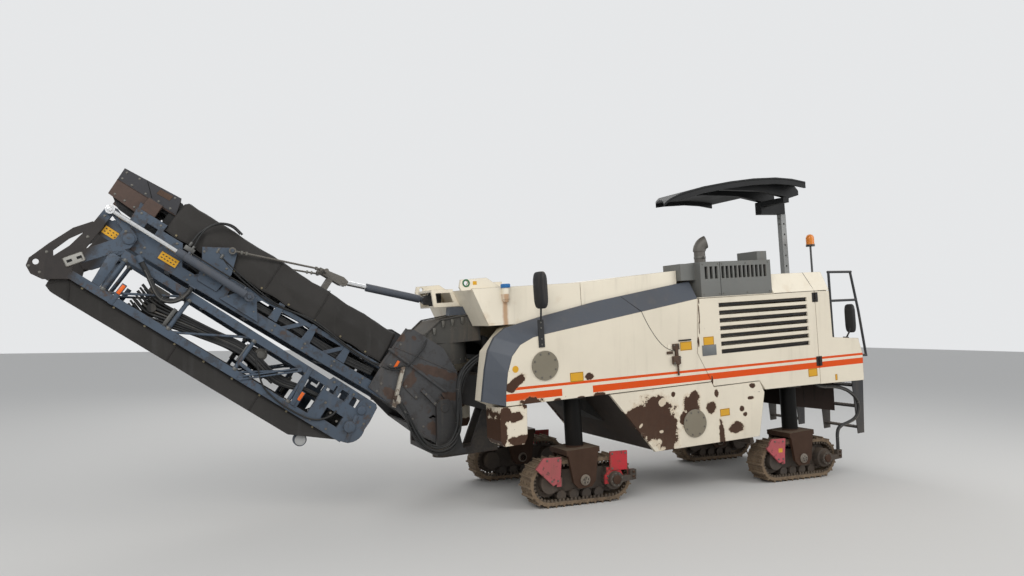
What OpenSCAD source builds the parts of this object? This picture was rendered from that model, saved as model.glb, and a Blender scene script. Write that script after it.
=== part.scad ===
/* [Whole machine] */
// Nose-down pitch of the body as it stands on its four legs, degrees
body_pitch = 3.8; // [0:0.1:8]
// Distance from the middle of the wheelbase forward to the middle of the length
origin_shift = 2026; // [1500:1:2500]
// Half width over the side panels
half_w = 1020; // [800:5:1300]
// Thickness of the side panels and doors
panel_t = 40; // [15:1:60]
// Step from a side panel in to the side of the tank and engine cover
tank_step = 200; // [70:5:420]
// Height of the deck's underside above the ground line of the body
deck_z = 1570; // [1400:5:1700]
// Thickness of the deck
deck_t = 80; // [40:5:120]

/* [Front of the body] */
// Rear end of the front wings
wing_rear_x = 2260; // [2100:5:2400]
// Front face of the lower posts
post_front_x = 2590; // [2400:5:2800]
// Width of a front wing, from its side panel inwards
wing_w = 380; // [260:5:520]
// Lower edge of the side panels over the front tracks
panel_low_z = 1310; // [1200:5:1400]
// Ledge of the edge band outside the side of the tank
band_lip = 40; // [10:5:120]

/* [Tank and engine cover] */
// Front top edge of the water tank
tank_front_x = 2750; // [2500:5:2900]
// Underside of the tank between the side panels
tank_low_z = 2165; // [2000:5:2300]
// Top of the tank
tank_top_z = 2585; // [2400:5:2700]
// Seam between the tank and the engine cover
seam_x = 1415; // [1200:5:1600]
// Rear end of the engine cover
cover_rear_x = 50; // [-100:5:200]
// Top of the engine cover at its rear end
cover_rear_z = 2680; // [2500:5:2800]

/* [Hood, door and intake] */
// Front end of the cooler hood
hood_front_x = -90; // [-200:5:0]
// Rear end of the cooler hood
hood_rear_x = -2280; // [-2500:5:-2000]
// Shoulder height of the hood, where its side turns in
hood_shoulder_z = 2325; // [2200:5:2450]
// Top of the hood
hood_top_z = 2580; // [2450:5:2700]
// Inner wall of the hood, beside the operator
hood_in_y = 340; // [200:5:600]
// Seam where the louvred door is hinged
door_seam_x = -2015; // [-2200:5:-1900]
// Front edge of the louvre
louvre_front_x = -410; // [-600:5:-300]
// Rear edge of the louvre
louvre_rear_x = -1870; // [-1990:5:-1700]
// Lower edge of the louvre
louvre_low_z = 1630; // [1500:5:1750]
// Upper edge of the louvre
louvre_top_z = 2295; // [2200:5:2310]
// Number of slots in the louvre
louvre_n = 7; // [4:1:12]
// Front end of the slotted intake box
intake_front_x = -180; // [-300:5:-100]
// Rear end of the slotted intake box
intake_rear_x = -1310; // [-1500:5:-1100]
// Top of the intake box
intake_top_z = 2765; // [2650:5:2900]
// Bore of the exhaust pipe
exhaust_r = 70; // [40:1:100]

/* [Milling drum] */
// Cutting radius over the tips of the tools
drum_r = 470; // [400:5:520]
// Radius of the drum's bare tube
drum_tube_r = 375; // [300:5:420]
// Cutting width
drum_w = 1000; // [800:10:1200]
// Distance of the drum's axis ahead of the middle of the wheelbase
drum_x = -130; // [-250:5:50]
// Height of the drum's axis
drum_z = 1030; // [900:5:1100]
// Number of tool holders round one helix
pick_n = 22; // [12:1:30]

/* [Legs and tracks] */
// Half of the wheelbase
half_base = 1630; // [1400:5:1900]
// Distance from a side panel in to the middle of its tracks
track_in = 220; // [140:5:370]
// Height of the fork pin above the ground
fork_pin_z = 290; // [250:5:340]
// Radius of the leg column
leg_r = 100; // [70:1:130]
// Width of a track shoe
shoe_w = 260; // [200:5:320]
// Distance between a track's sprocket and its idler
track_axle = 800; // [600:5:1000]
// Radius over the lugs at a track's ends
track_r = 265; // [220:1:300]
// Number of shoes in a track
shoe_n = 30; // [24:1:40]
// Height of a lug
lug_h = 22; // [12:1:40]

/* [Canopy] */
// Length of the canopy's left edge
canopy_len = 2330; // [1800:10:2600]
// Rear edge of the canopy
canopy_rear_x = -2070; // [-2300:5:-1900]
// Half width of the canopy
canopy_half_w = 950; // [800:5:1050]
// Highest point of the canopy
canopy_top_z = 3835; // [3600:5:4000]
// Thickness of the canopy's rim
canopy_rim = 85; // [50:5:120]

/* [Discharge conveyor] */
// Fold hinge, distance ahead of the middle of the wheelbase
fold_x = 6010; // [5800:5:6200]
// Fold hinge, height
fold_z = 3200; // [3000:5:3400]
// Rise of the rear section, degrees
rear_rise = 35.4; // [25:0.1:45]
// Slope of the folded front section, degrees
front_rise = 37.2; // [25:0.1:45]
// Length of the rear section's rails below the fold hinge
rear_len = 3000; // [2600:10:3300]
// Length of the front section
front_len = 2850; // [2400:10:3000]
// Half width over the rear section's rails
rail_half_y = 420; // [350:5:480]
// Depth of a rail
rail_h = 109; // [80:1:140]
// Slew axis, distance ahead of the middle of the wheelbase
slew_x = 2890; // [2800:5:3000]
// Lift axis, distance ahead of the middle of the wheelbase
lift_x = 3020; // [2950:5:3150]
// Lift axis, height
lift_z = 1300; // [1200:5:1400]
// Width of the belt
belt_w = 600; // [500:10:700]
// Radius of the belt's end pulleys
pulley_r = 78; // [60:1:100]

/* [Hidden] */
panel_y = half_w - panel_t;
tank_half_w = half_w - tank_step;
wing_in_y = half_w - wing_w;
band_out_y = tank_half_w + band_lip;
half_gauge = half_w - track_in;
member_y = panel_y - 120;
rail_y = half_w - 120;
deck_top = deck_z + deck_t;
sp = sin(body_pitch);
cp = cos(body_pitch);
// places in the body's frame of a point given above the ground
function bx(x, z) = x * cp - z * sp;
function bz(x, z) = x * sp + z * cp;
// legs: ahead (1) or behind (-1), left (1) or right (-1)
leg_fl = [1, 1];
leg_fr = [1, -1];
leg_rl = [-1, 1];
leg_rr = [-1, -1];
sleeve_low = [1290, 1090];
run_gap = 0.5;
function tank_face_x(z) = 2575 + (z - tank_low_z) * (tank_front_x - 2575) / (tank_top_z - 10 - tank_low_z);
eye_r = 25;
slide_gap = 2;
belt_t = 14;
track_half = track_axle / 2;
shoe_r = track_r - lug_h;
shoe_t = 26;
drum_gap = 30;
drum_side_gap = 20;
drum_mid_y = drum_w / 2 + drum_side_gap - panel_y;
drum_wall_y = drum_mid_y + drum_w / 2 + drum_gap;
// louvre door: gap behind it, and its two hinges
door_gap = 5;
hinge_x = door_seam_x - 3;
hinge_y = half_w + 12;
hinge_h = 124;
// height of the middle of each hinge
hinge_tab = [1405, 2245];
// the thirds of a hinge that stand still and the one that turns: from, to
fixed_thirds = [[0, 40], [84, 124]];
door_third = [[41, 83]];
post_top_z = canopy_top_z - 395;
// gap between faces that would else lie in one slope
flush = 0.05;
// discharge conveyor: places along and over the rear section
boot_y = 440;
fold_cyl_y = 512;
fold_base = [-1180, 115];
fold_pin = [275, 130];
fold_turn = front_rise - rear_rise;
fold_eye = [
    fold_pin[0] * cos(fold_turn) - fold_pin[1] * sin(fold_turn),
    fold_pin[0] * sin(fold_turn) + fold_pin[1] * cos(fold_turn)
];
rope_eye = [-809, 415];
yoke = [-1945, 818];
lift_u = -(fold_x - lift_x) * cos(rear_rise) - (fold_z - lift_z) * sin(rear_rise);
lift_v = (fold_x - lift_x) * sin(rear_rise) - (fold_z - lift_z) * cos(rear_rise);
lift_base = [slew_x + 125, 2495];
lift_eye = [
    fold_x + yoke[0] * cos(rear_rise) - yoke[1] * sin(rear_rise),
    fold_z + yoke[0] * sin(rear_rise) + yoke[1] * cos(rear_rise)
];
// hoses: radius, and the points of each route as x, y, z
slew_hose_r = 28;
slew_hose_pts = [
    [3533, 540, 1416], [3468, 540, 1289], [3374, 540, 1085], [3260, 540, 935], [3128, 540, 880],
    [2993, 540, 930], [2904, 540, 1077], [2882, 540, 1243], [2871, 540, 1400], [2860, 540, 1540],
    [2815, 545, 1670], [2710, 555, 1770], [2580, 570, 1838], [2440, 586, 1866], [2340, 592, 1870], [2260, 592, 1870]
];
fold_hose_r = 24;
// in the rear section
fold_hose_pts = [
    [-209, 510, -126], [-303, 510, -183], [-380, 510, -238], [-455, 510, -290], [-535, 510, -318],
    [-615, 510, -296], [-668, 510, -236], [-692, 510, -170], [-697, 510, -120], [-697, 510, -90]
];
rear_hose_r = 22;
rear_hose_pts = [
    [-1960, 925, 1320], [-1960, 925, 1240], [-1995, 926, 1140], [-2075, 927, 1070], [-2190, 928, 1044],
    [-2364, 930, 1025], [-2500, 930, 992], [-2620, 930, 938], [-2730, 930, 850], [-2785, 930, 740],
    [-2765, 932, 640], [-2690, 934, 566], [-2560, 936, 526], [-2430, 940, 502], [-2355, 952, 470],
    [-2304, 974, 410], [-2282, 990, 340], [-2273, 996, 271], [-2269, 996, 211]
];

// a point on the track's path at length s and height r over it
track_pitch_r = shoe_r - shoe_t;
track_path = 2 * track_axle + 2 * PI * track_pitch_r;
function turn_pt(cx, a, r) = [cx + r * cos(a), r * sin(a)];
function track_pt(s, r) =
    s < track_axle ? [-track_half + s, -r] :
    s < track_axle + PI * track_pitch_r ? turn_pt(track_half, -90 + (s - track_axle) / track_pitch_r * 180 / PI, r) :
    s < 2 * track_axle + PI * track_pitch_r ? [track_half - (s - track_axle - PI * track_pitch_r), r] :
    turn_pt(-track_half, 90 + (s - 2 * track_axle - PI * track_pitch_r) / track_pitch_r * 180 / PI, r);

function arc_pts(cx, cz, r, a0, a1, n) = [for (i = [0:n]) let (a = a0 + (a1 - a0) * i / n) [cx + r * cos(a), cz + r * sin(a)]];

// stations of the edge band, from its lower front end to its rear end:
// inner edge x, inner edge z, outer edge x, outer edge z
band_tab = [
    [2520, 1310, 2726, 1366],
    [2505, 1480, 2700, 1520],
    [2475, 1660, 2670, 1700],
    [2415, 1830, 2620, 1905],
    [2310, 1945, 2540, 2040],
    [2150, 2015, 2406, 2133],
    [1960, 2045, 1973, 2226],
    [810, 2200, 1210, 2365],
    [-88, 2322, -105, 2540],
];

module in_body() {
    translate([-origin_shift, 0, 0])
        rotate([0, body_pitch, 0])
            children();
}

module both_sides() {
    children();
    mirror([0, 1, 0]) children();
}

// a side profile given as x and z, from y0 to y1
module slab(y0, y1) {
    translate([0, y1, 0])
        rotate([90, 0, 0])
            linear_extrude(height = y1 - y0)
                children();
}

module box(x0, x1, y0, y1, z0, z1) {
    translate([x0, y0, z0])
        cube([x1 - x0, y1 - y0, z1 - z0]);
}

module rod(p, q, r) {
    d = q - p;
    len = norm(d);
    translate(p)
        rotate([0, acos(d[2] / len), atan2(d[1], d[0])])
            cylinder(h = len, r = r, $fn = 24);
}

module pin_y(x, z, r, y0, y1) {
    translate([x, y1, z])
        rotate([90, 0, 0])
            cylinder(h = y1 - y0, r = r, $fn = 48);
}

// the same on one side of the middle: s is 1 on the left and -1 on the right
module side_slab(s, y0, y1) {
    slab(min(s * y0, s * y1), max(s * y0, s * y1))
        children();
}

module side_pin(s, x, z, r, y0, y1) {
    pin_y(x, z, r, min(s * y0, s * y1), max(s * y0, s * y1));
}

// a hose along a route: one ring of corners at each of its points
hose_sides = 10;
function unit(v) = v / norm(v);
function heading(p, i) = unit(p[min(i + 1, len(p) - 1)] - p[max(i - 1, 0)]);

module hose(p, r) {
    n = len(p);
    m = hose_sides;
    color([0.05, 0.05, 0.05])
    polyhedron(
        points = [
            for (i = [0:n - 1])
                let (t = heading(p, i), a = unit(cross(t, [0, 1, 0])), b = cross(t, a))
                    for (k = [0:m - 1]) p[i] + r * (cos(k * 360 / m) * a + sin(k * 360 / m) * b)
        ],
        faces = concat(
            [[for (k = [0:m - 1]) k]],
            [for (i = [0:n - 2], k = [0:m - 1]) each [
                [i * m + k, (i + 1) * m + k, (i + 1) * m + (k + 1) % m],
                [i * m + k, (i + 1) * m + (k + 1) % m, i * m + (k + 1) % m]
            ]],
            [[for (k = [m - 1:-1:0]) (n - 1) * m + k]]
        )
    );
}

module rear_section() {
    in_body()
        translate([fold_x, 0, fold_z])
            rotate([0, -rear_rise, 0])
                children();
}

module front_section() {
    in_body()
        translate([fold_x, 0, fold_z])
            rotate([0, -front_rise, 0])
                children();
}

// body

module main_frame() {
    color([0.16, 0.16, 0.17])
    in_body() {
        difference() {
            union() {
                box(-2780, wing_rear_x, -panel_y, panel_y, deck_z, deck_top);
                for (s = [-1, 1]) {
                    side_slab(s, member_y, panel_y) {
                        translate([1300, panel_low_z + 10]) square([wing_rear_x - 1300, deck_z - panel_low_z - 10]);
                        translate([-2780, panel_low_z + 10]) square([1680, deck_z - panel_low_z - 10]);
                    }
                    for (k = [0, 1]) {
                        x = bx((k == 0 ? 1 : -1) * half_base, fork_pin_z);
                        translate([x, s * half_gauge, sleeve_low[k]])
                            cylinder(h = deck_z - sleeve_low[k], r = 150, $fn = 48);
                        translate([x, s * half_gauge, sleeve_low[k]])
                            cylinder(h = 30, r = 175, $fn = 48);
                    }
                }
                box(1380, 1830, -wing_in_y, wing_in_y, 1380, deck_z);
                box(-1880, -1420, -member_y, member_y, 1300, deck_z);
                box(2120, wing_rear_x, -wing_in_y, wing_in_y, 1180, deck_z);
            }
            box(1300, wing_rear_x + 1, -330, 330, deck_z - 1, deck_top + 1);
            box(1300, 2100, -330, 330, 1379, deck_z + 1);
            for (s = [-1, 1])
                for (k = [0, 1]) {
                    x = bx((k == 0 ? 1 : -1) * half_base, fork_pin_z);
                    translate([x, s * half_gauge, sleeve_low[k] - 1])
                        cylinder(h = deck_z - sleeve_low[k] - 9, r = leg_r + run_gap, $fn = 48);
                }
        }
    }
}

module front_wings() {
    color([0.93, 0.9, 0.82])
    in_body()
        both_sides() {
            slab(wing_in_y, tank_half_w)
                polygon([
                    [wing_rear_x, 1300], [post_front_x, 1300], [2718, 1366], [2630, 1891],
                    [2404, 2125], [wing_rear_x, tank_low_z]
                ]);
            slab(wing_in_y, half_w)
                polygon([
                    [wing_rear_x + 15, 1300], [post_front_x, 1300], [post_front_x + 10, 950],
                    [post_front_x - 30, 890], [2330, 890], [2290, 960]
                ]);
        }
}

module side_panels() {
    color([0.93, 0.9, 0.82])
    in_body()
        both_sides()
            slab(panel_y, half_w)
                polygon(concat(
                    [for (b = band_tab) [b[0], b[1]]],
                    [[-35, 1665], [-219, panel_low_z]]
                ));
}

module edge_bands() {
    n = len(band_tab);
    pts = [for (b = band_tab) each [
        [b[0], half_w, b[1]], [b[2], band_out_y, b[3]],
        [b[2], tank_half_w, b[3]], [b[0], panel_y, b[1]]
    ]];
    faces = concat(
        [[0, 1, 2], [0, 2, 3]],
        [for (i = [0:n - 2], k = [0:3]) each [
            [4 * i + k, 4 * i + 4 + k, 4 * i + 4 + (k + 1) % 4],
            [4 * i + k, 4 * i + 4 + (k + 1) % 4, 4 * i + (k + 1) % 4]
        ]],
        [[4 * n - 1, 4 * n - 2, 4 * n - 3], [4 * n - 1, 4 * n - 3, 4 * n - 4]]
    );
    color([0.3, 0.33, 0.38])
    in_body()
        both_sides()
            polyhedron(points = pts, faces = faces);
}

module water_tank() {
    color([0.93, 0.9, 0.82])
    in_body() {
        slab(-tank_half_w, tank_half_w)
            polygon([
                [tank_front_x, tank_top_z - 10], [2575, tank_low_z], [seam_x, tank_low_z],
                [seam_x, tank_top_z + 5]
            ]);
        both_sides()
            box(seam_x, wing_rear_x, tank_half_w - 220, tank_half_w, deck_top, tank_low_z);
        both_sides()
            difference() {
                slab(tank_half_w - 60, tank_half_w - 30)
                    polygon([
                        [2880, 2600], [2860, 2680], [2560, 2690], [2400, tank_top_z - 6], [2740, tank_top_z - 8],
                        [2745, 2560], [2860, 2560]
                    ]);
                pin_y(2800, 2640, eye_r, tank_half_w - 70, tank_half_w - 20);
            }
        translate([2330, 500, tank_top_z - 8])
            cylinder(h = 70, r = 75, $fn = 32);
    }
}

module engine_cover() {
    t = 30;
    color([0.93, 0.9, 0.82])
    in_body()
        difference() {
            slab(-tank_half_w, tank_half_w)
                polygon([
                    [seam_x - 6, deck_top], [seam_x - 6, tank_top_z + 5], [cover_rear_x, cover_rear_z],
                    [cover_rear_x, deck_top]
                ]);
            slab(-tank_half_w + t, tank_half_w - t)
                polygon([
                    [seam_x - 6 - t, deck_top - 1], [seam_x - 6 - t, tank_top_z - t],
                    [cover_rear_x + t, cover_rear_z - t - 5], [cover_rear_x + t, deck_top - 1]
                ]);
        }
}

module engine_block() {
    color([0.3, 0.3, 0.3])
    in_body()
        box(150, 1250, -450, 500, deck_top, 2250);
}

module hood_shell() {
    t = 30;
    color([0.93, 0.9, 0.82])
    in_body()
        difference() {
            translate([hood_rear_x, 0, 0])
                rotate([90, 0, 90])
                    linear_extrude(height = hood_front_x - hood_rear_x)
                        polygon([
                            [hood_in_y, deck_top], [hood_in_y, hood_top_z], [rail_y, hood_top_z],
                            [half_w, hood_shoulder_z + 5], [panel_y, hood_shoulder_z + 5], [panel_y, deck_top]
                        ]);
            translate([hood_rear_x + t, 0, 0])
                rotate([90, 0, 90])
                    linear_extrude(height = hood_front_x - hood_rear_x - 2 * t)
                        polygon([
                            [hood_in_y + t, deck_top - 1], [hood_in_y + t, hood_top_z - t], [rail_y - 10, hood_top_z - t],
                            [panel_y - 10, hood_shoulder_z + 30], [panel_y + 1, hood_shoulder_z], [panel_y + 1, deck_top - 1]
                        ]);
            box(intake_rear_x, hood_front_x + 1, 560, half_w + 1, hood_shoulder_z + 10, hood_top_z + 1);
        }
}

module door_outline() {
    polygon([
        [hood_front_x - 5, hood_shoulder_z - 5], [-42, 1664], [-257, panel_low_z - 60], [-980, 1248],
        [-1066, 1128], [door_seam_x, 1108], [door_seam_x, hood_shoulder_z]
    ]);
}

// one half of both door hinges: leaf on side (1 ahead of the axis, -1 behind it), knuckles on own thirds
module hinge_half(side, own, other) {
    leaf_t = 6;
    for (z = hinge_tab)
        translate([hinge_x, hinge_y, z - hinge_h / 2]) {
            difference() {
                translate([side > 0 ? 2 : -50, half_w - 1 - hinge_y, 0]) cube([48, leaf_t, hinge_h]);
                for (g = other)
                    translate([0, 0, g[0] - 0.5]) cylinder(h = g[1] - g[0] + 1, r = 13, $fn = 32);
            }
            for (g = own)
                translate([0, 0, g[0]]) cylinder(h = g[1] - g[0], r = 11, $fn = 32);
        }
}

module hinge_pins(r) {
    for (z = hinge_tab)
        translate([hinge_x, hinge_y, z - hinge_h / 2]) cylinder(h = hinge_h, r = r, $fn = 32);
}

module louvre_door() {
    pitch = (louvre_top_z - louvre_low_z) / louvre_n;
    door_in_y = panel_y + door_gap;
    color([0.93, 0.9, 0.82])
    in_body() {
        difference() {
            slab(door_in_y, half_w) door_outline();
            for (i = [0:louvre_n - 1])
                box(louvre_rear_x, louvre_front_x, panel_y - 1, half_w + 1,
                    louvre_low_z + i * pitch, louvre_low_z + i * pitch + pitch * 0.55);
        }
        for (i = [0:louvre_n - 1])
            slab(door_in_y, door_in_y + 12)
                translate([louvre_rear_x - 5, louvre_low_z + i * pitch + pitch * 0.2])
                    square([louvre_front_x - louvre_rear_x + 10, 16]);
        difference() {
            hinge_half(1, door_third, fixed_thirds);
            hinge_pins(7 + run_gap);
        }
    }
}

function ledge_z(x) = deck_top + (x + 2765) * 50 / (hood_rear_x - 10 + 2765);

module rear_panels() {
    color([0.93, 0.9, 0.82])
    in_body() {
        both_sides()
            slab(panel_y, half_w)
                polygon([
                    [door_seam_x - 6, 1104], [-2820, 1080], [-2830, 1440], [-2765, deck_top], [hood_rear_x - 10, deck_top + 50],
                    [hood_rear_x, hood_shoulder_z - 5], [door_seam_x - 6, hood_shoulder_z]
                ]);
        box(-2820, -2780, -panel_y, panel_y, 1080, deck_top);
        mirror([0, 1, 0])
            slab(panel_y, half_w) door_outline();
        hinge_half(-1, fixed_thirds, door_third);
        hinge_pins(7);
    }
}

module air_intake_box() {
    slot_w = 42;
    slot_h = 150;
    // slots: first x behind the front end, pitch, number
    slot_tab = [[70, 78, 3], [330, 68, 11]];
    color([0.5, 0.52, 0.52])
    in_body()
        difference() {
            union() {
                box(intake_rear_x, intake_front_x, 560, half_w - 25, hood_shoulder_z + 10, intake_top_z);
                box(intake_rear_x + 20, intake_rear_x + 180, 600, half_w - 60, intake_top_z - 1, intake_top_z + 115);
                box(intake_front_x - 1, cover_rear_x - 6, 560, rail_y, hood_top_z - 30, intake_top_z - 10);
            }
            box(intake_rear_x + 25, intake_front_x - 25, 585, half_w - 50, hood_shoulder_z + 9, intake_top_z - 25);
            for (t = slot_tab, i = [0:t[2] - 1])
                box(intake_front_x - t[0] - i * t[1] - slot_w, intake_front_x - t[0] - i * t[1], half_w - 60, half_w,
                    intake_top_z - 60 - slot_h, intake_top_z - 60);
        }
}

module exhaust_pipe() {
    bend_r = 120;
    color([0.35, 0.33, 0.3])
    in_body()
        translate([-430, 700, intake_top_z])
            rotate([0, 0, 150])
                difference() {
                    union() {
                        cylinder(h = 156, r = exhaust_r, $fn = 48);
                        translate([bend_r, 0, 150])
                            rotate([90, 0, 0])
                                rotate([0, 0, 105])
                                    rotate_extrude(angle = 75, $fn = 64)
                                        translate([bend_r, 0]) circle(r = exhaust_r + 10, $fn = 32);
                    }
                    translate([bend_r, 0, 150])
                        rotate([90, 0, 0])
                            rotate([0, 0, 104])
                                rotate_extrude(angle = 40, $fn = 64)
                                    translate([bend_r, 0]) circle(r = exhaust_r + 2, $fn = 32);
                }
}

// the housing beside the drum's chamber, and the chamber
module housing_wall_outline() {
    polygon([
        [1215, 1290], [650, 590], [-905, 570], [-1035, 1100], [-975, 1215], [-290, 1225], [-250, 1290],
        [-250, deck_z], [1290, deck_z], [1290, 1330]
    ]);
}

module chamber_outline() {
    polygon([
        [1225, 1300], [650, 590], [-905, 570], [-1035, 1100], [-1035, deck_z], [1290, deck_z], [1290, 1380]
    ]);
}

module drum_housing() {
    color([0.24, 0.22, 0.2])
    in_body() {
        slab(drum_wall_y, panel_y) housing_wall_outline();
        difference() {
            slab(-panel_y, drum_wall_y) chamber_outline();
            pin_y(drum_x, drum_z, drum_r + drum_gap, -panel_y - 1, drum_wall_y - 1);
            box(drum_x - drum_r - drum_gap, drum_x + drum_r + drum_gap, -panel_y - 1, drum_wall_y - 1, 500, drum_z);
        }
        slab(-900, 900)
            polygon([[-900, 600], [-935, 470], [-900, 440], [-870, 460], [-860, 600]]);
    }
}

module side_plate_outline() {
    polygon([
        [1228, 1300], [660, 580], [-920, 560], [-1044, 1096], [-978, 1240], [-250, 1240], [-222, 1300]
    ]);
}

module drum_side_plates() {
    color([0.93, 0.9, 0.82])
    in_body()
        both_sides()
            slab(panel_y, half_w) side_plate_outline();
}

// bolted covers over the openings in the side panels and side plates:
// centre x, centre z, radius
disc_tab = [[2030, 1700, 160], [70, 840, 165]];

module cover_discs() {
    color([0.5, 0.53, 0.5])
    in_body()
        both_sides()
            for (d = disc_tab)
                pin_y(d[0], d[1], d[2], half_w, half_w + 14);
}

module milling_drum() {
    w2 = drum_w / 2;
    color([0.35, 0.3, 0.26])
    in_body()
        translate([drum_x, drum_mid_y, drum_z])
            rotate([90, 0, 0]) {
                difference() {
                    cylinder(h = drum_w, r = drum_tube_r, center = true, $fn = 96);
                    translate([0, 0, -w2 - 1]) cylinder(h = 60, r = drum_tube_r - 45, $fn = 64);
                }
                translate([0, 0, w2 - 1]) cylinder(h = drum_mid_y - w2 + panel_y + 0.7, r = 90, $fn = 48);
                translate([0, 0, drum_mid_y - drum_wall_y + 1.3])
                    cylinder(h = drum_wall_y - 1.3 - drum_mid_y - w2 + 62, r = 90, $fn = 48);
                for (s = [0, 1], i = [0:pick_n - 1])
                    rotate([0, 0, i * 360 / pick_n * 1.5 + s * 180])
                        translate([drum_tube_r - 8, 0, (s == 0 ? 1 : -1) * (w2 - 32 - (w2 - 50) * i / (pick_n - 1))])
                            union() {
                                translate([0, -40, -24]) cube([60, 62, 48]);
                                translate([48, 0, 0])
                                    rotate([0, 0, 40])
                                        rotate([0, 90, 0])
                                            cylinder(h = 72, r1 = 20, r2 = 8, $fn = 16);
                            }
            }
}

module rear_ballast() {
    color([0.28, 0.2, 0.16])
    in_body() {
        slab(-620, 620)
            polygon([[-2680, 640], [-2690, 1060], [-2690, 1300], [-1935, 1300], [-1935, 1060], [-1935, 780]]);
        both_sides()
            box(-2780, -2550, 500, 600, 1300, deck_z);
        difference() {
            slab(-20, 20)
                polygon([[-2680, 800], [-2680, 1000], [-2770, 960], [-2800, 900], [-2770, 840]]);
            pin_y(-2745, 900, eye_r, -30, 30);
        }
    }
}

module primary_conveyor() {
    rise = 30;
    front_end_x = 2440;
    color([0.15, 0.15, 0.15])
    in_body()
        difference() {
            translate([1020, 0, 1080])
                rotate([0, -rise, 0])
                    difference() {
                        box(-200, 1760, -300, 300, -110, 130);
                        box(-201, 1761, -270, 270, -70, 90);
                    }
            box(0, 2600, -400, 400, 0, 700);
            slab(-400, 400) chamber_outline();
            slab(-400, 400) housing_wall_outline();
            box(front_end_x, 3000, -400, 400, 1000, 2600);
        }
}

module discharge_hood() {
    color([0.1, 0.1, 0.1])
    in_body()
        difference() {
            union() {
                translate([slew_x, 0, 1750]) cylinder(h = 260, r = 330, $fn = 64);
                slab(-330, 330)
                    polygon([
                        [2480, 2000], [2880, 1990], [3150, 2010], [3130, 2110], [2960, 2250],
                        [2640, 2290], [2575, tank_low_z], [2480, tank_low_z]
                    ]);
            }
            translate([slew_x, 0, 1749]) cylinder(h = 262, r = 300, $fn = 64);
            slab(-300, 300)
                polygon([
                    [2470, 1980], [2640, 1980], [2640, 2000], [2880, 2000], [3110, 2020], [3100, 2095],
                    [2945, 2220], [2655, 2255], [2600, 2130], [2470, 2130]
                ]);
        }
}

module slew_console() {
    color([0.2, 0.21, 0.23])
    in_body()
        difference() {
            union() {
                box(wing_rear_x, 2420, -wing_in_y, wing_in_y, 1180, deck_z);
                for (s = [-1, 1])
                    slab(s * 110 - 20, s * 110 + 20)
                        polygon([
                            [wing_rear_x, 1180], [wing_rear_x, 690], [2760, 690], [2760, 780],
                            [2600, 780], [2420, 1180]
                        ]);
                box(wing_rear_x, slew_x - 40, -130, 130, 690, 780);
                translate([slew_x, 0, 690]) cylinder(h = 90, r = 130, $fn = 64);
            }
            translate([slew_x, 0, 689]) cylinder(h = 92, r = 60 + run_gap, $fn = 64);
        }
}

module lift_console() {
    color([0.93, 0.9, 0.82])
    in_body() {
        difference() {
            slab(-240, 240)
                polygon([
                    [tank_front_x + flush, 2600], [3010, 2600], [3010, 2575], [2990, 2400],
                    [tank_face_x(2400) + flush, 2400], [tank_front_x + flush, tank_top_z - 10]
                ]);
            slab(-215, 215)
                polygon([[2600, 2575], [3011, 2575], [3011, 2420], [2600, 2420]]);
            slab(-241, 241)
                polygon([[2790, 2560], [2960, 2560], [2950, 2450], [2750, 2450]]);
        }
        translate([slew_x, 0, 2420]) cylinder(h = 155, r = 40, $fn = 48);
    }
}

module guard_rails() {
    y = rail_y;
    color([0.3, 0.33, 0.36])
    in_body()
        both_sides() {
            for (p = [
                [[-2430, y, deck_top], [-2430, y, 2570]],
                [[-2413, y, 2571], [-2857, y, 2560]],
                [[-2838, y, 2572], [-2953, y, 1996]],
                [[-2948, y, 2024], [-3040, y, 1384]],
                [[-2430, y, 2180], [-2916, y, 2170]],
                [[-3038, y, 1400], [-2820, y, 1400]]
            ])
                rod(p[0], p[1], 17);
        }
}

module rear_ladder() {
    stile_t = 12;
    y0 = 240;
    y1 = half_w - 200;
    // rungs: height, rear edge, front edge
    rung_tab = [[390, -2975, -2880], [680, -3000, -2865], [970, -3015, -2840]];
    color([0.3, 0.32, 0.34])
    in_body()
        both_sides() {
            for (y = [y0, y1])
                slab(y - stile_t / 2, y + stile_t / 2)
                    polygon([
                        [-2820, 1340], [-2820, 1000], [-2865, 323], [-2984, 323], [-3030, 1011], [-3030, 1180],
                        [-2900, 1340]
                    ]);
            for (g = rung_tab)
                box(g[1], g[2], y0, y1, g[0], g[0] + 22);
        }
}

module platform_floor() {
    color([0.25, 0.26, 0.27])
    in_body()
        box(-2770, 40, -member_y, hood_in_y, deck_top, deck_top + 30);
}

module operator_console() {
    z0 = deck_top + 30;
    color([0.2, 0.2, 0.21])
    in_body() {
        slab(-640, 180)
            polygon([
                [-260, z0], [-260, 2480], [-380, 2520], [-760, 2400], [-700, 2330], [-520, 2300],
                [-480, z0]
            ]);
        translate([-620, -230, 2450])
            rotate([0, -18, 0])
                rotate_extrude($fn = 48) translate([150, 0]) circle(r = 14, $fn = 16);
    }
}

module operator_seat() {
    z0 = deck_top + 30;
    seat_y = -(half_w - 360);
    color([0.12, 0.12, 0.12])
    in_body() {
        box(-1560, -1340, seat_y - 100, seat_y + 100, z0, 2080);
        box(-1700, -1230, seat_y - 240, seat_y + 240, 2080, 2190);
        slab(seat_y - 230, seat_y + 230)
            polygon([[-1700, 2190], [-1620, 2190], [-1700, 2600], [-1780, 2600]]);
    }
}

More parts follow.
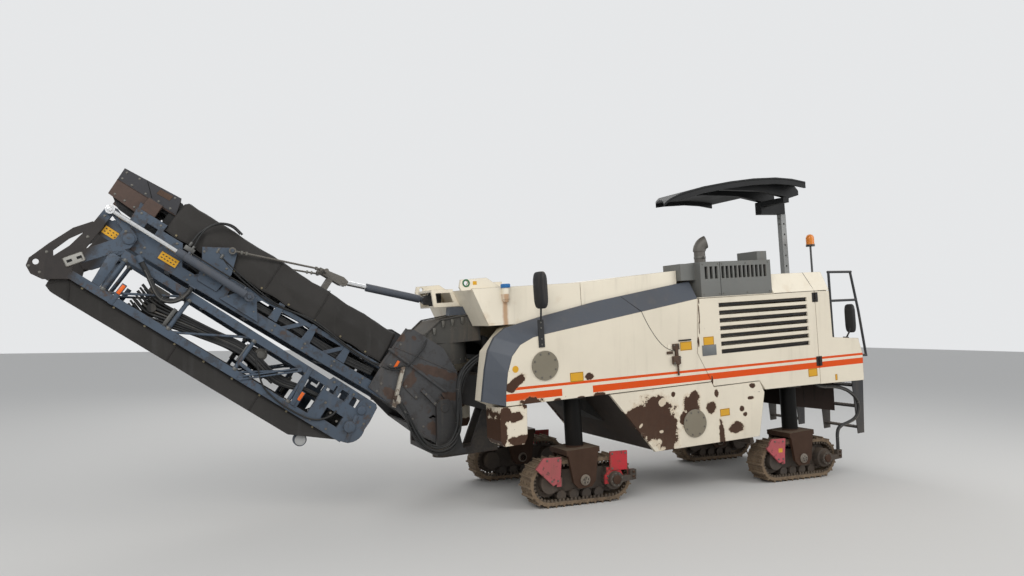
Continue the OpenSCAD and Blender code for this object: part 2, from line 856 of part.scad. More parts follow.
module canopy_profile(lift) {
    // x, height below the highest point
    tab = [
        [0, 45], [-240, 10], [-520, -2], [-900, 18], [-1280, 62], [-1700, 130], [-2050, 215], [-2240, 290], [-2330, 355]
    ];
    n = len(tab);
    polygon(concat(
        [for (t = tab) [canopy_rear_x - t[0], canopy_top_z - t[1]]],
        [for (i = [n - 1:-1:0]) let (t = tab[i]) [canopy_rear_x - t[0], canopy_top_z - t[1] - lift * (i > n - 3 ? 0.35 : 1)]]
    ));
}

module canopy_roof() {
    color([0.3, 0.31, 0.32])
    in_body() {
        intersection() {
            union() {
                slab(-canopy_half_w, canopy_half_w) canopy_profile(30);
                both_sides() slab(canopy_half_w - 25, canopy_half_w) canopy_profile(canopy_rim);
            }
            linear_extrude(height = 5000)
                polygon([
                    [canopy_rear_x - 1, canopy_half_w + 1], [canopy_rear_x + canopy_len + 1, canopy_half_w + 1],
                    [canopy_rear_x + 1050, -canopy_half_w - 1], [canopy_rear_x - 1, -canopy_half_w - 1]
                ]);
        }
        for (y = [250, 690])
            slab(y, y + 70)
                translate([canopy_rear_x, canopy_top_z])
                    polygon([
                        [-60, -195], [-60, -135], [0, -70], [520, -27], [1250, -90], [1250, -135], [600, -145], [100, -235]
                    ]);
        box(-2290, -1850, 230, 345, post_top_z, canopy_top_z - 230);
        box(-1950, -1850, 230, 760, canopy_top_z - 295, canopy_top_z - 225);
    }
}

module canopy_post() {
    color([0.62, 0.64, 0.64])
    in_body()
        difference() {
            box(-2310, -2220, 255, 330, deck_top + 30, post_top_z);
            for (z = [2700:150:post_top_z - 90])
                pin_y(-2265, z, 14, 250, 335);
        }
}

module beacon() {
    color([0.95, 0.5, 0.05])
    in_body()
        translate([-2500, 560, deck_top]) {
            cylinder(h = 1310, r = 14, $fn = 24);
            translate([0, 0, 1300]) cylinder(h = 30, r = 60, $fn = 32);
            translate([0, 0, 1328]) cylinder(h = 90, r = 55, $fn = 32);
            translate([0, 0, 1418]) sphere(r = 55, $fn = 32);
        }
}

module mirrors() {
    color([0.06, 0.06, 0.06])
    in_body() {
        both_sides() {
            box(2020, 2090, half_w, half_w + 12, 1900, 2200);
            rod([2050, half_w + 10, 2180], [2050, half_w + 30, 2330], 12);
            translate([2050, half_w + 30, 2520])
                rotate([0, 0, 70])
                    box(-95, 95, -30, 30, -205, 205);
            slab(half_w - 35, half_w - 5)
                polygon([
                    [-2600, ledge_z(-2600)], [-2520, ledge_z(-2520)], [-2520, ledge_z(-2520) + 15], [-2600, ledge_z(-2600) + 15]
                ]);
            rod([-2560, half_w - 20, ledge_z(-2560) + 10], [-2600, half_w + 20, 1765], 11);
            translate([-2620, half_w + 15, 1930])
                rotate([0, 0, 80])
                    box(-75, 75, -22, 22, -195, 195);
        }
    }
}

// legs and tracks

module at_leg(leg) {
    translate([leg[0] * half_base - origin_shift, leg[1] * half_gauge, 0])
        children();
}

module leg_column(leg) {
    k = leg[0] > 0 ? 0 : 1;
    px = bx(leg[0] * half_base, fork_pin_z);
    pz = bz(leg[0] * half_base, fork_pin_z);
    y = leg[1] * half_gauge;
    top = 285;
    color([0.28, 0.22, 0.18])
    in_body()
        translate([px, y, pz]) {
            translate([0, 0, top + 60])
                cylinder(h = deck_z - 12 - pz - top - 60, r = leg_r, $fn = 48);
            box(-210, 210, -200, 200, top, top + 60);
            for (s = [-1, 1])
                side_slab(s, 160, 200)
                    polygon([[-190, top], [190, top], [140, -20], [85, -85], [-85, -85], [-140, -20]]);
            pin_y(0, 0, 42, -225, 225);
        }
}

module track_frame(leg) {
    o = leg[1];
    // outboard guards as x, height: nose of every track, tail of the front ones
    nose_guard = [[504, 558], [280, 556], [297, 285], [383, 250], [596, 441]];
    tail_guard = [[-571, 357], [-345, 357], [-345, 571], [-571, 571]];
    tail_plate = [[-357, 214], [-274, 214], [-274, 316], [-357, 316]];
    color([0.3, 0.28, 0.26])
    at_leg(leg) {
        difference() {
            union() {
                box(-330, 330, -75, 75, 160, 400);
                box(-470, -300, -60, 60, 230, 330);
                box(300, 470, -60, 60, 230, 330);
                for (x = [-240, -80, 80, 240])
                    pin_y(x, track_r - track_pitch_r + 12 + 58.3, 58, -95, 95);
                box(-300, 300, -40, 40, 110, 165);
                for (x = [-track_half, track_half]) {
                    pin_y(x, track_r, 160, -45, 45);
                    pin_y(x, track_r, 110, -130, 130);
                }
                // drive at the rear end, its motor outboard and the block that its hose goes to
                pin_y(-track_half, track_r, 120, -170, 170);
                side_pin(o, -track_half, track_r, 85, 168, 225);
                side_slab(o, 168, 225) polygon([
                    [-660, 250], [-440, 225], [-440, 300], [-580, 300], [-580, 360], [-660, 360]
                ]);
            }
            pin_y(0, fork_pin_z, 42 + run_gap, -300, 300);
        }
        side_slab(o, 150, 175) polygon(nose_guard);
        side_slab(o, 60, 152) translate([260, 230]) square([70, 100]);
        if (leg[0] > 0) {
            side_slab(o, 150, 175) polygon(tail_guard);
            side_slab(o, 150, 175) polygon(tail_plate);
            side_slab(o, 60, 152) translate([-365, 340]) square([60, 55]);
            side_slab(o, 60, 152) translate([-330, 230]) square([50, 70]);
        }
    }
}

module track_belt(leg) {
    p = track_path / shoe_n;
    r0 = track_pitch_r + shoe_t - 8;
    r1 = track_pitch_r + shoe_t;
    r2 = track_r;
    ri = track_pitch_r - 12;
    // one shoe as length along the path in pitches, and height
    shoe = [
        [0, r0], [0.06, r0], [0.1, r1], [0.2, r1], [0.24, r2], [0.36, r2], [0.4, r1], [0.9, r1],
        [0.94, r0]
    ];
    color([0.33, 0.22, 0.15])
    at_leg(leg)
        translate([0, 0, track_r])
            difference() {
                slab(-shoe_w / 2, shoe_w / 2)
                    polygon([for (i = [0:shoe_n - 1], q = shoe) track_pt((i + q[0]) * p, q[1])]);
                slab(-shoe_w / 2 - 1, shoe_w / 2 + 1)
                    polygon([for (i = [0:shoe_n - 1]) track_pt(i * p, ri)]);
            }
}

// discharge conveyor

module slew_bracket() {
    color([0.24, 0.25, 0.28])
    in_body() {
        translate([slew_x, 0, 700]) cylinder(h = 100, r = 60, $fn = 64);
        box(2800, 3130, -500, 500, 785, 840);
        for (s = [-1, 1]) {
            side_slab(s, 450, 500)
                polygon([[2830, 840], [3130, 840], [3110, 1340], [3070, 1390], [2970, 1390], [2930, 1340]]);
            side_pin(s, lift_x, lift_z, 45, 395, 510);
        }
        difference() {
            union() {
                translate([slew_x, 0, 2422]) cylinder(h = 150, r = 75, $fn = 48);
                for (s = [-1, 1])
                    slab(s * 45 - 10, s * 45 + 10)
                        polygon([
                            [slew_x, 2430], [slew_x + 120, 2440], [slew_x + 165, 2475],
                            [slew_x + 165, 2515], [slew_x + 120, 2550], [slew_x, 2560]
                        ]);
            }
            translate([slew_x, 0, 2400]) cylinder(h = 190, r = 40 + run_gap, $fn = 48);
        }
        pin_y(slew_x + 125, 2495, 20, -60, 60);
    }
}

module boot_outline() {
    polygon([
        [-2700, 200], [-2741, 700], [-2800, 735], [-3200, 739], [-3472, 602], [-3800, 150], [-3850, 20],
        [-3800, -110], [-3675, -180], [-3300, -150], [-3010, -75], [-2700, -40]
    ]);
}

module conveyor_boot() {
    color([0.22, 0.23, 0.25])
    rear_section()
        difference() {
            union() {
                for (s = [-1, 1]) {
                    side_slab(s, rail_half_y, boot_y)
                        difference() {
                            boot_outline();
                            polygon([[-3453, 10], [-3480, 61], [-3700, 61], [-3721, 30], [-3700, 10]]);
                        }
                    // handrail tube and strut outside the plate
                    rod([-2672, s * (boot_y + 12), 413], [-3480, s * (boot_y + 12), 345], 16);
                    side_slab(s, boot_y - 1, boot_y + 30)
                        polygon([[-2887, 331], [-2925, 343], [-3066, -80], [-3028, -92]]);
                    translate([lift_u, 0, lift_v])
                        side_pin(s, 0, 0, 80, 380, boot_y);
                }
                slab(-rail_half_y, rail_half_y)
                    polygon([
                        [-3800, 150], [-3850, 20], [-3800, -110], [-3675, -180], [-3300, -150],
                        [-3300, -130], [-3668, -158], [-3782, -98], [-3828, 20], [-3782, 150]
                    ]);
                pin_y(-3530, 0, 45, -rail_half_y, rail_half_y);
                // gland of the slew hose
                rod([-2980, 540, 19], [-3051, 540, -18], 36);
                pin_y(-3015, 0, 22, boot_y - 1, 540);
            }
            pin_y(lift_u, lift_v, 45 + run_gap, -600, 600);
        }
}

module conveyor_rear_frame() {
    y0 = rail_half_y - 60;
    color([0.25, 0.27, 0.3])
    rear_section() {
        for (s = [-1, 1]) {
            a = min(s * y0, s * rail_half_y);
            b = max(s * y0, s * rail_half_y);
            slab(a, b) polygon([[-50, 36], [-2980, 36], [-2980, -73], [-50, -73]]);
            slab(a, b)
                difference() {
                    polygon([
                        [-520, 36], [-400, 232], [-196, 232], [-196, 300], [110, 300], [90, 60], [60, -50],
                        [-60, -73], [-60, 36]
                    ]);
                    translate([-150, 130]) square([110, 90]);
                }
            slab(a, b) polygon([[-2960, 36], [-2760, 360], [-2700, 360], [-2720, 200], [-2820, 36]]);
            for (u = [-700:-480:-2600])
                slab(a + 15, b - 15)
                    polygon([[u, 30], [u - 160, 185], [u - 100, 185], [u + 60, 30]]);
            slab(a + 15, b - 15) polygon([[-330, 180], [-2720, 235], [-2720, 185], [-330, 140]]);
            // gusset under the fold cylinder
            side_slab(s, rail_half_y, rail_half_y + 25)
                polygon([[-1391, -50], [-1250, 150], [-1110, 160], [-960, -40]]);
            // pins at the fold hinge and the cylinder's base
            side_pin(s, 0, 0, 40, y0, 482);
            side_pin(s, fold_base[0], fold_base[1], 22, 440, 560);
            // rope bracket
            side_slab(s, rail_half_y, rail_half_y + 18)
                polygon([
                    [-560, 300], [-809, 455], [-860, 430], [-930, 215], [-900, 0], [-700, 0],
                    [-620, 200]
                ]);
            side_pin(s, rope_eye[0], rope_eye[1], 18, 437, 490);
        }
        for (u = [-420, -1300, -2200])
            box(u - 30, u + 30, -y0 - 2, y0 + 2, -60, 0);
        // bracket of the fold hose
        box(-732, -662, 400, 538, -89, -74);
        box(-732, -662, 400, rail_half_y, -75, -60);
    }
}

module conveyor_head_box() {
    color([0.33, 0.37, 0.43])
    rear_section() {
        for (s = [-1, 1]) {
            side_slab(s, 330, 345)
                polygon([[-200, 426], [60, 416], [60, 250], [391, 274], [407, 556], [-150, 600]]);
            side_slab(s, 345, rail_half_y)
                polygon([[-60, 300], [80, 300], [80, 440], [-60, 440]]);
        }
        slab(-331, 331) polygon([[-149, 599.8], [-149, 585], [405, 541], [406, 555.8]]);
    }
}

module conveyor_rear_cover() {
    t = 14;
    color([0.14, 0.14, 0.14])
    rear_section()
        translate([-200, 0, 0])
            rotate([90, 0, -90])
                linear_extrude(height = 2480)
                    difference() {
                        polygon([
                            [-405, 240], [-405, 420], [-330, 600], [-250, 622], [250, 622], [330, 600],
                            [405, 420], [405, 240]
                        ]);
                        polygon([
                            [-405 + t, 239], [-405 + t, 418], [-330 + t, 600 - t], [-250, 622 - t],
                            [250, 622 - t], [330 - t, 600 - t], [405 - t, 418], [405 - t, 239]
                        ]);
                    }
}

// the straight runs and half turns of a belt at distance r from its pulleys' axes p and q
module loop_outline(p, q, r) {
    d = q - p;
    a = atan2(d[1], d[0]);
    polygon(concat(
        arc_pts(p[0], p[1], r, a + 90, a + 270, 24),
        arc_pts(q[0], q[1], r, a - 90, a + 90, 24)
    ));
}

module belt_loop(p, q) {
    slab(-belt_w / 2, belt_w / 2)
        difference() {
            loop_outline(p, q, pulley_r + belt_t);
            loop_outline(p, q, pulley_r);
        }
}

module conveyor_belt_rear() {
    color([0.08, 0.08, 0.08])
    rear_section() {
        belt_loop([-3530, 0], [290, 345]);
        pin_y(290, 345, pulley_r + 1, -belt_w / 2 - 20, belt_w / 2 + 20);
        difference() {
            pin_y(-3530, 0, pulley_r + 1, -belt_w / 2 - 20, belt_w / 2 + 20);
            pin_y(-3530, 0, 46, -belt_w / 2 - 30, belt_w / 2 + 30);
        }
    }
}

module suspension_ropes() {
    bar = [-1700, 790];
    color([0.4, 0.41, 0.42])
    rear_section()
        difference() {
            union() {
                for (s = [-1, 1]) {
                    rod([-835, s * 466, 427], [bar[0], s * 262, bar[1]], 9);
                    side_pin(s, rope_eye[0], rope_eye[1], 34, 457, 483);
                    side_pin(s, yoke[0], yoke[1], 20, 50, 70);
                    slab(s * 52 - 12, s * 52 + 12)
                        polygon([
                            [bar[0] + 50, 760], [bar[0] + 50, 815], [-1920, 865], [-1990, 850], [-1990, 790], [-1930, 770]
                        ]);
                }
                pin_y(bar[0], bar[1], 22, -275, 275);
                box(-1840, -1780, -62, 62, 622.3, 800);
            }
            pin_y(rope_eye[0], rope_eye[1], 18 + run_gap, -600, 600);
        }
}

module conveyor_front_frame() {
    y0 = 436;
    y1 = 480;
    y_mid = (y0 + y1) / 2;
    // places of the upright struts; a thin diagonal runs from the foot of each to the head of the next
    strut_tab = [-90, -750, -1466, -2074];
    head_v = -140;
    foot_v = -540;
    color([0.25, 0.27, 0.3])
    front_section() {
        for (s = [-1, 1]) {
            a = min(s * y0, s * y1);
            b = max(s * y0, s * y1);
            slab(a, b) polygon([[60, -100], [-2400, -100], [-2400, -180], [60, -180]]);
            slab(a, b) polygon([[200, -500], [-2750, -500], [-2750, -580], [200, -580]]);
            for (u = strut_tab)
                rod([u, s * y_mid, head_v], [u, s * y_mid, foot_v], 21);
            for (i = [1:len(strut_tab) - 1])
                rod([strut_tab[i - 1], s * y_mid, foot_v], [strut_tab[i], s * y_mid, head_v], 12);
            // crank: fold pin, top eye, lower front corner
            difference() {
                slab(a, b)
                    difference() {
                        polygon([
                            [-60, 30], [-40, 60], [230, 175], [290, 165], [320, 120], [320, -400],
                            [240, -440], [180, -400], [-60, -60]
                        ]);
                        polygon([[90, 40], [235, 100], [235, -280], [90, -60]]);
                    }
                side_pin(s, 0, 0, 40 + run_gap, 400, 600);
            }
            // curved arm and end plate
            side_slab(s, 455, 480)
                difference() {
                    polygon([
                        [230, -20], [330, -40], [420, -180], [490, -400], [540, -600], [520, -670],
                        [450, -710], [350, -700], [180, -580], [240, -420]
                    ]);
                    polygon([[330, -160], [390, -280], [430, -440], [400, -480], [350, -330]]);
                    translate([480, -600]) circle(r = 26, $fn = 24);
                }
            side_pin(s, fold_pin[0], fold_pin[1], 20, 440, 486.4);
            // head plates with three windows
            slab(a, b)
                difference() {
                    polygon(concat(
                        [[-2300, -130], [-2330, -60], [-2860, -60], [-2890, -90], [-2905, -250]],
                        arc_pts(-2745, -400, 165, 160, 260, 8),
                        [[-2700, -580], [-2300, -580]]
                    ));
                    for (u = [-2420, -2560, -2700])
                        translate([u, -210]) square([90, 90]);
                    translate([-2640, -470]) square([200, 120]);
                }
        }
        for (u = [-620, -1400, -2200])
            rod([u, -y0 - 10, -545], [u, y0 + 10, -545], 22);
        for (u = [-900, -1700])
            rod([u, -y0 - 10, head_v], [u, y0 + 10, head_v], 22);
        rod([400, -y0 - 30, -668], [400, y0 + 30, -668], 24);
        // gland of the fold hose
        rod([-150, 510, -84], [-212, 510, -119], 30);
        pin_y(-180, -104, 22, y1 - 1, 510);
    }
}

module conveyor_front_cover() {
    color([0.14, 0.14, 0.14])
    front_section()
        difference() {
            slab(-446, 446)
                polygon([[185, -580.3], [314, -728], [238, -760], [-2264, -775], [-2700, -580.3]]);
            slab(-432, 432)
                polygon([
                    [210, -581], [400, -700], [400, -720], [232, -746], [-2258, -761], [-2662, -581],
                    [-2662, -570], [210, -570]
                ]);
        }
}

module conveyor_belt_front() {
    color([0.08, 0.08, 0.08])
    front_section() {
        belt_loop([-2745, -400], [-520, -420]);
        pin_y(-2745, -400, pulley_r + 1, -436, 436);
        pin_y(-520, -420, pulley_r + 1, -belt_w / 2 - 20, belt_w / 2 + 20);
        pin_y(-520, -420, 42, -436, 436);
    }
}

// the line of the fold cylinders, from their base
module fold_line() {
    d = fold_eye - fold_base;
    rear_section()
        both_sides()
            translate([fold_base[0], fold_cyl_y, fold_base[1]])
                rotate([0, -atan2(d[1], d[0]), 0])
                    children();
}

module along(from, h, r) {
    translate([from, 0, 0]) rotate([0, 90, 0]) cylinder(h = h, r = r, $fn = 48);
}

module fold_barrels() {
    color([0.3, 0.33, 0.37])
    fold_line()
        difference() {
            union() {
                along(40, 740, 40);
                pin_y(0, 0, 48, -25, 25);
            }
            along(90, 700, 22 + slide_gap);
            pin_y(0, 0, 22 + run_gap, -40, 40);
        }
}

// the rod's eye is closed, with its own pin on the outer side: this is where the linkage is open
module fold_rods() {
    reach = norm(fold_eye - fold_base);
    color([0.75, 0.76, 0.78])
    fold_line() {
        along(680, reach - 700, 22);
        pin_y(reach, 0, 42, -25, 25);
        pin_y(reach, 0, 20, 24, 36);
    }
}

// the line of the lift cylinder, from its base
module lift_line() {
    d = lift_eye - lift_base;
    in_body()
        translate([lift_base[0], 0, lift_base[1]])
            rotate([0, -atan2(d[1], d[0]), 0])
                children();
}

module lift_barrel() {
    color([0.3, 0.33, 0.37])
    lift_line()
        difference() {
            union() {
                along(64, 636, 45);
                along(30, 36, 28);
                pin_y(0, 0, 42, -30, 30);
            }
            along(90, 640, 28 + slide_gap);
            pin_y(0, 0, 20 + run_gap, -40, 40);
        }
}

// the rod's eye is closed, with its own short pin between the plates: this is where the linkage is open
module lift_rod() {
    reach = norm(lift_eye - lift_base);
    color([0.75, 0.76, 0.78])
    lift_line() {
        along(300, reach - 320, 28);
        pin_y(reach, 0, 40, -30, 30);
        pin_y(reach, 0, 20, -39.4, 39.4);
    }
}

module slew_hose() {
    in_body() hose(slew_hose_pts, slew_hose_r);
}

module fold_hose() {
    rear_section() hose(fold_hose_pts, fold_hose_r);
}

module rear_hose() {
    in_body() hose(rear_hose_pts, rear_hose_r);
}

module leg_fl_column() { leg_column(leg_fl); }
module leg_fr_column() { leg_column(leg_fr); }
module leg_rl_column() { leg_column(leg_rl); }
module leg_rr_column() { leg_column(leg_rr); }
module leg_fl_frame() { track_frame(leg_fl); }
module leg_fr_frame() { track_frame(leg_fr); }
module leg_rl_frame() { track_frame(leg_rl); }
module leg_rr_frame() { track_frame(leg_rr); }
module leg_fl_track() { track_belt(leg_fl); }
module leg_fr_track() { track_belt(leg_fr); }
module leg_rl_track() { track_belt(leg_rl); }
module leg_rr_track() { track_belt(leg_rr); }

main_frame();
front_wings();
side_panels();
edge_bands();
water_tank();
engine_cover();
engine_block();
hood_shell();
louvre_door();
rear_panels();
air_intake_box();
exhaust_pipe();
drum_housing();
drum_side_plates();
cover_discs();
milling_drum();
rear_ballast();
primary_conveyor();
discharge_hood();
slew_console();
lift_console();
guard_rails();
rear_ladder();
platform_floor();
operator_console();
operator_seat();
canopy_roof();
canopy_post();
beacon();
mirrors();
leg_fl_column();
leg_fr_column();
leg_rl_column();
leg_rr_column();
leg_fl_frame();
leg_fr_frame();
leg_rl_frame();
leg_rr_frame();
leg_fl_track();
leg_fr_track();
leg_rl_track();
leg_rr_track();
slew_bracket();
conveyor_boot();
conveyor_rear_frame();
conveyor_head_box();
conveyor_rear_cover();
conveyor_belt_rear();
suspension_ropes();
conveyor_front_frame();
conveyor_front_cover();
conveyor_belt_front();
fold_barrels();
fold_rods();
lift_barrel();
lift_rod();
slew_hose();
fold_hose();
rear_hose();
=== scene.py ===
from math import atan2, copysign, cos, dist, exp, pi, radians, sin
import bmesh
import bpy
from mathutils import Matrix, Vector, noise


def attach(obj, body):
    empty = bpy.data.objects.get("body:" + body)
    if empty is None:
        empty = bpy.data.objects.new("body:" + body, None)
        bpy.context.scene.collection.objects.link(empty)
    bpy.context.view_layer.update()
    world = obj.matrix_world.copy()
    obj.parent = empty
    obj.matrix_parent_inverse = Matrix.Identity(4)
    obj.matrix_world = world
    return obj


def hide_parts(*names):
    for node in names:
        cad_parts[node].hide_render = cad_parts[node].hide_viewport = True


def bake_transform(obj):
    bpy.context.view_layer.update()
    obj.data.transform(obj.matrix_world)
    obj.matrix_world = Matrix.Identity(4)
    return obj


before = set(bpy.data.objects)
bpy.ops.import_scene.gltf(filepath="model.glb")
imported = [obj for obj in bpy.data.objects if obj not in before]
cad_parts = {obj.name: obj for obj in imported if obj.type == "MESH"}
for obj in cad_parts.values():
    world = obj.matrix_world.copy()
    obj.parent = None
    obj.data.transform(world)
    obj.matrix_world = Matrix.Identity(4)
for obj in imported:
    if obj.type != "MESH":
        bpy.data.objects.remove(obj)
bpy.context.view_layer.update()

# The view. The machine stands on a pale floor, seen from its left front, as tall as a person stands.
# Lens, place and turn come from the parallel edges of the panels, stripes and track shoes.
MIDDLE = 2.026              # from the middle of the wheelbase forward to the middle of the length
EYE = (5.874 - MIDDLE, 8.213, 1.97)
LOOK_UP = radians(3.07)
LOOK_ROUND = radians(180 - 24.916)
LENS = 26.126

scene = bpy.context.scene


def stand(name, data):
    """A new object of this data in the scene."""
    thing = bpy.data.objects.new(name, data)
    scene.collection.objects.link(thing)
    return thing


view = bpy.data.cameras.new("view")
view.lens = LENS
view.sensor_width = 36
view.clip_end = 300
eye = stand("view", view)
eye.location = EYE
eye.rotation_euler = (pi / 2 + LOOK_UP, 0, LOOK_ROUND)
scene.camera = eye
scene.view_settings.view_transform = "Standard"

BACKDROP = (0.79, 0.8, 0.81)
SKY_LIGHT = 0.6


def put(tree, kind, sockets=None, **settings):
    """One node. Its sockets are filled, or linked when they are given another node's output."""
    made = tree.nodes.new(kind)
    for name, value in settings.items():
        setattr(made, name, value)
    for key, value in (sockets or {}).items():
        if isinstance(value, bpy.types.NodeSocket):
            tree.links.new(value, made.inputs[key])
        else:
            made.inputs[key].default_value = value
    return made


def lay(tree, kind, sockets=None, **settings):
    """One shader node."""
    return put(tree, "ShaderNode" + kind, sockets, **settings)


def calc(tree, operation, *values, clamp=False):
    return lay(tree, "Math", dict(enumerate(values)), operation=operation, use_clamp=clamp).outputs[0]


world = bpy.data.worlds.new("studio")
scene.world = world
world.use_nodes = True
air = world.node_tree
air.nodes.clear()
rays = lay(air, "LightPath").outputs
seen = calc(air, "MAXIMUM", rays["Is Camera Ray"], rays["Is Glossy Ray"])
seen = calc(air, "MAXIMUM", seen, rays["Is Transmission Ray"])
lit = lay(air, "Background", {"Color": (0.93, 0.96, 1, 1), "Strength": SKY_LIGHT})
shown = lay(air, "Background", {"Color": (*BACKDROP, 1), "Strength": 1})
both = lay(air, "MixShader", {0: seen, 1: lit.outputs[0], 2: shown.outputs[0]})
lay(air, "OutputWorld", {0: both.outputs[0]})

# lamps: name, place, size, power, aimed at the middle of the machine
for name, place, size, power in (
    ("key_lamp", (7.5, 9.5, 8.5), 7, 690),
    ("fill_lamp", (-8, 8, 7), 8, 400),
    ("back_lamp", (-3, -10, 9), 8, 400),
):
    lamp = bpy.data.lights.new(name, "AREA")
    lamp.energy = power
    lamp.size = size
    lamp.color = (1, 0.985, 0.96)
    lamp_object = stand(name, lamp)
    lamp_object.location = place
    lamp_object.rotation_euler = (Vector((0, 0, 1.4)) - Vector(place)).to_track_quat("-Z", "Y").to_euler()

FLOOR = 60                  # from the middle of the floor to its edges
floor_mesh = bpy.data.meshes.new("floor")
floor_mesh.from_pydata([(FLOOR * x, FLOOR * y, 0) for x, y in ((-1, -1), (1, -1), (1, 1), (-1, 1))], [], [(0, 1, 2, 3)])
stand("floor", floor_mesh)
concrete = bpy.data.materials.new("pale_floor")
concrete.use_nodes = True
matt = concrete.node_tree.nodes["Principled BSDF"].inputs
matt["Base Color"].default_value = (0.62, 0.61, 0.59, 1)
matt["Roughness"].default_value = 0.9
floor_mesh.materials.append(concrete)

# Deck and side members: welded plate, sprayed dark grey, dusty on top and scuffed along its edges.
# The body stands a little nose-down on its legs, so its pieces are drawn level and tipped by BODY.
NOSE_DOWN = radians(3.8)
BODY = Matrix.Translation((-MIDDLE, 0, 0)) @ Matrix.Rotation(NOSE_DOWN, 4, "Y")
DUST = (0.21, 0.165, 0.12)
RUST = (0.105, 0.048, 0.024)
IRON_AND_SLOT_SHADE = (0.034, 0.033, 0.033)


def times(tree, a, b, clamp=False):
    return calc(tree, "MULTIPLY", a, b, clamp=clamp)


def axes(tree, vector):
    return lay(tree, "SeparateXYZ", {0: vector}).outputs


def ease(tree, value, low, high):
    """0 below low, 1 above high, and a soft step between them."""
    return lay(tree, "MapRange", {"Value": value, "From Min": low, "From Max": high},
               interpolation_type="SMOOTHSTEP").outputs[0]


def grey(colour):
    """One number stands for a grey."""
    return (colour,) * 3 if isinstance(colour, float) else colour


def tint(tree, share, under, over):
    under, over = [(*c, 1) if isinstance(c, tuple) else c for c in (grey(under), grey(over))]
    return lay(tree, "Mix", {0: share, 6: under, 7: over}, data_type="RGBA").outputs[2]


def speckle(tree, place, scale, detail=3, stretch=None, rough=0.55):
    """Noise about 0.5; stretch scales the pattern along each axis."""
    if stretch:
        place = lay(tree, "Mapping", {"Vector": place, "Scale": stretch}).outputs[0]
    return lay(tree, "TexNoise", {"Vector": place, "Scale": scale, "Detail": detail, "Roughness": rough}).outputs[0]


def coating(name, colour, rough=0.55, metal=0.0, mottle=0.25, soil=0.35, soil_colour=DUST, wear=0.5,
            bare=RUST, dent=0.15, gloss=0.4, figure=None, edge=0.008):
    """Paint or bare metal with changes of tone, dust that has settled, runs, and wear along the edges.
    figure(tree, place, colour) may lay stripes, blotches or plates over the plain colour."""
    colour, soil_colour, bare = [grey(c) for c in (colour, soil_colour, bare)]
    material = bpy.data.materials.new(name)
    material.use_nodes = True
    tree = material.node_tree
    tree.nodes.clear()
    place = lay(tree, "TexCoord").outputs["Object"]
    facing = lay(tree, "NewGeometry").outputs["Normal"]
    broad = speckle(tree, place, 1.7, 5)
    fine = speckle(tree, place, 34, 4, rough=0.65)
    runs = speckle(tree, place, 1, 4, stretch=(11, 11, 0.9))
    shade = tuple(c * 0.62 for c in colour)
    tone = tint(tree, times(tree, ease(tree, broad, 0.35, 0.75), mottle), colour, shade)
    if figure:
        tone = figure(tree, place, tone)
    # settled dust: on faces that look up, in the runs, and more of it low down
    up = ease(tree, axes(tree, facing)[2], 0.25, 0.95)
    low = ease(tree, axes(tree, place)[2], 1.5, 0.1)
    dirty = calc(tree, "ADD", times(tree, up, 0.75), times(tree, low, 0.7))
    dirty = calc(tree, "ADD", dirty, times(tree, ease(tree, runs, 0.52, 0.75), 0.55))
    dirty = times(tree, dirty, ease(tree, calc(tree, "ADD", broad, times(tree, fine, 0.5)), 0.45, 1.0))
    dirty = times(tree, dirty, soil * 1.6, clamp=True)
    tone = tint(tree, dirty, tone, soil_colour)
    # wear: the rounded edge turns away from the flat face
    soft = lay(tree, "Bevel", {"Radius": edge}, samples=4).outputs[0]
    bend = lay(tree, "VectorMath", {0: soft, 1: facing}, operation="DOT_PRODUCT").outputs["Value"]
    bend = calc(tree, "SUBTRACT", 1, bend)
    rubbed = ease(tree, calc(tree, "ADD", bend, times(tree, fine, 0.22)), 0.16, 0.24)
    rubbed = times(tree, rubbed, wear, clamp=True)
    tone = tint(tree, rubbed, tone, bare)
    bump = lay(tree, "Bump", {"Strength": dent, "Distance": 0.004, "Height": fine, "Normal": soft}).outputs[0]
    roughness = lay(tree, "MapRange", {"Value": broad, "To Min": rough - 0.1, "To Max": rough + 0.12}).outputs[0]
    roughness = tint(tree, calc(tree, "MAXIMUM", dirty, rubbed), roughness, 0.85)
    surface = lay(tree, "BsdfPrincipled", {
        "Base Color": tone, "Roughness": roughness, "Normal": bump, "Metallic": metal, "Specular IOR Level": gloss})
    lay(tree, "OutputMaterial", {0: surface.outputs[0]})
    return material


def dress(nodes, material):
    """Every slot of these CAD nodes takes this material."""
    for name in nodes:
        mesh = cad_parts[name].data
        mesh.materials.clear()
        mesh.materials.append(material)


# the frame's dark steel, also used on the louvre fins as painted shade
dark_steel = coating("dark_steel", IRON_AND_SLOT_SHADE, rough=0.6, soil=0.35, wear=0.5, gloss=0.25)
dress(["main_frame", "slew_console"], dark_steel)

# Side panels, doors, wings and tank: pressed and welded sheet, primed brown and painted cream.
# Two orange stripes run along the side; where stones and straps hit it, the paint is off down to the primer.
CREAM = (0.76, 0.69, 0.56)
ORANGE = (0.7, 0.07, 0.002)
PRIMER = (0.046, 0.022, 0.013)
STRIPE_LOW = 1.334          # wide stripe's lower edge at the middle of the wheelbase
STRIPE_RISE = 0.0095        # rise of the stripes for each metre ahead
STRIPE_WIDE = 0.078
STRIPE_GAP = 0.034
STRIPE_THIN = 0.03
LOUVRE_X = (-1.89, -0.39)
LOUVRE_Z = (1.62, 2.31)
LABEL = (1.447, 1.838, 1.3, 1.455)    # bare cream place in the stripes: x from, x to, z from, z to
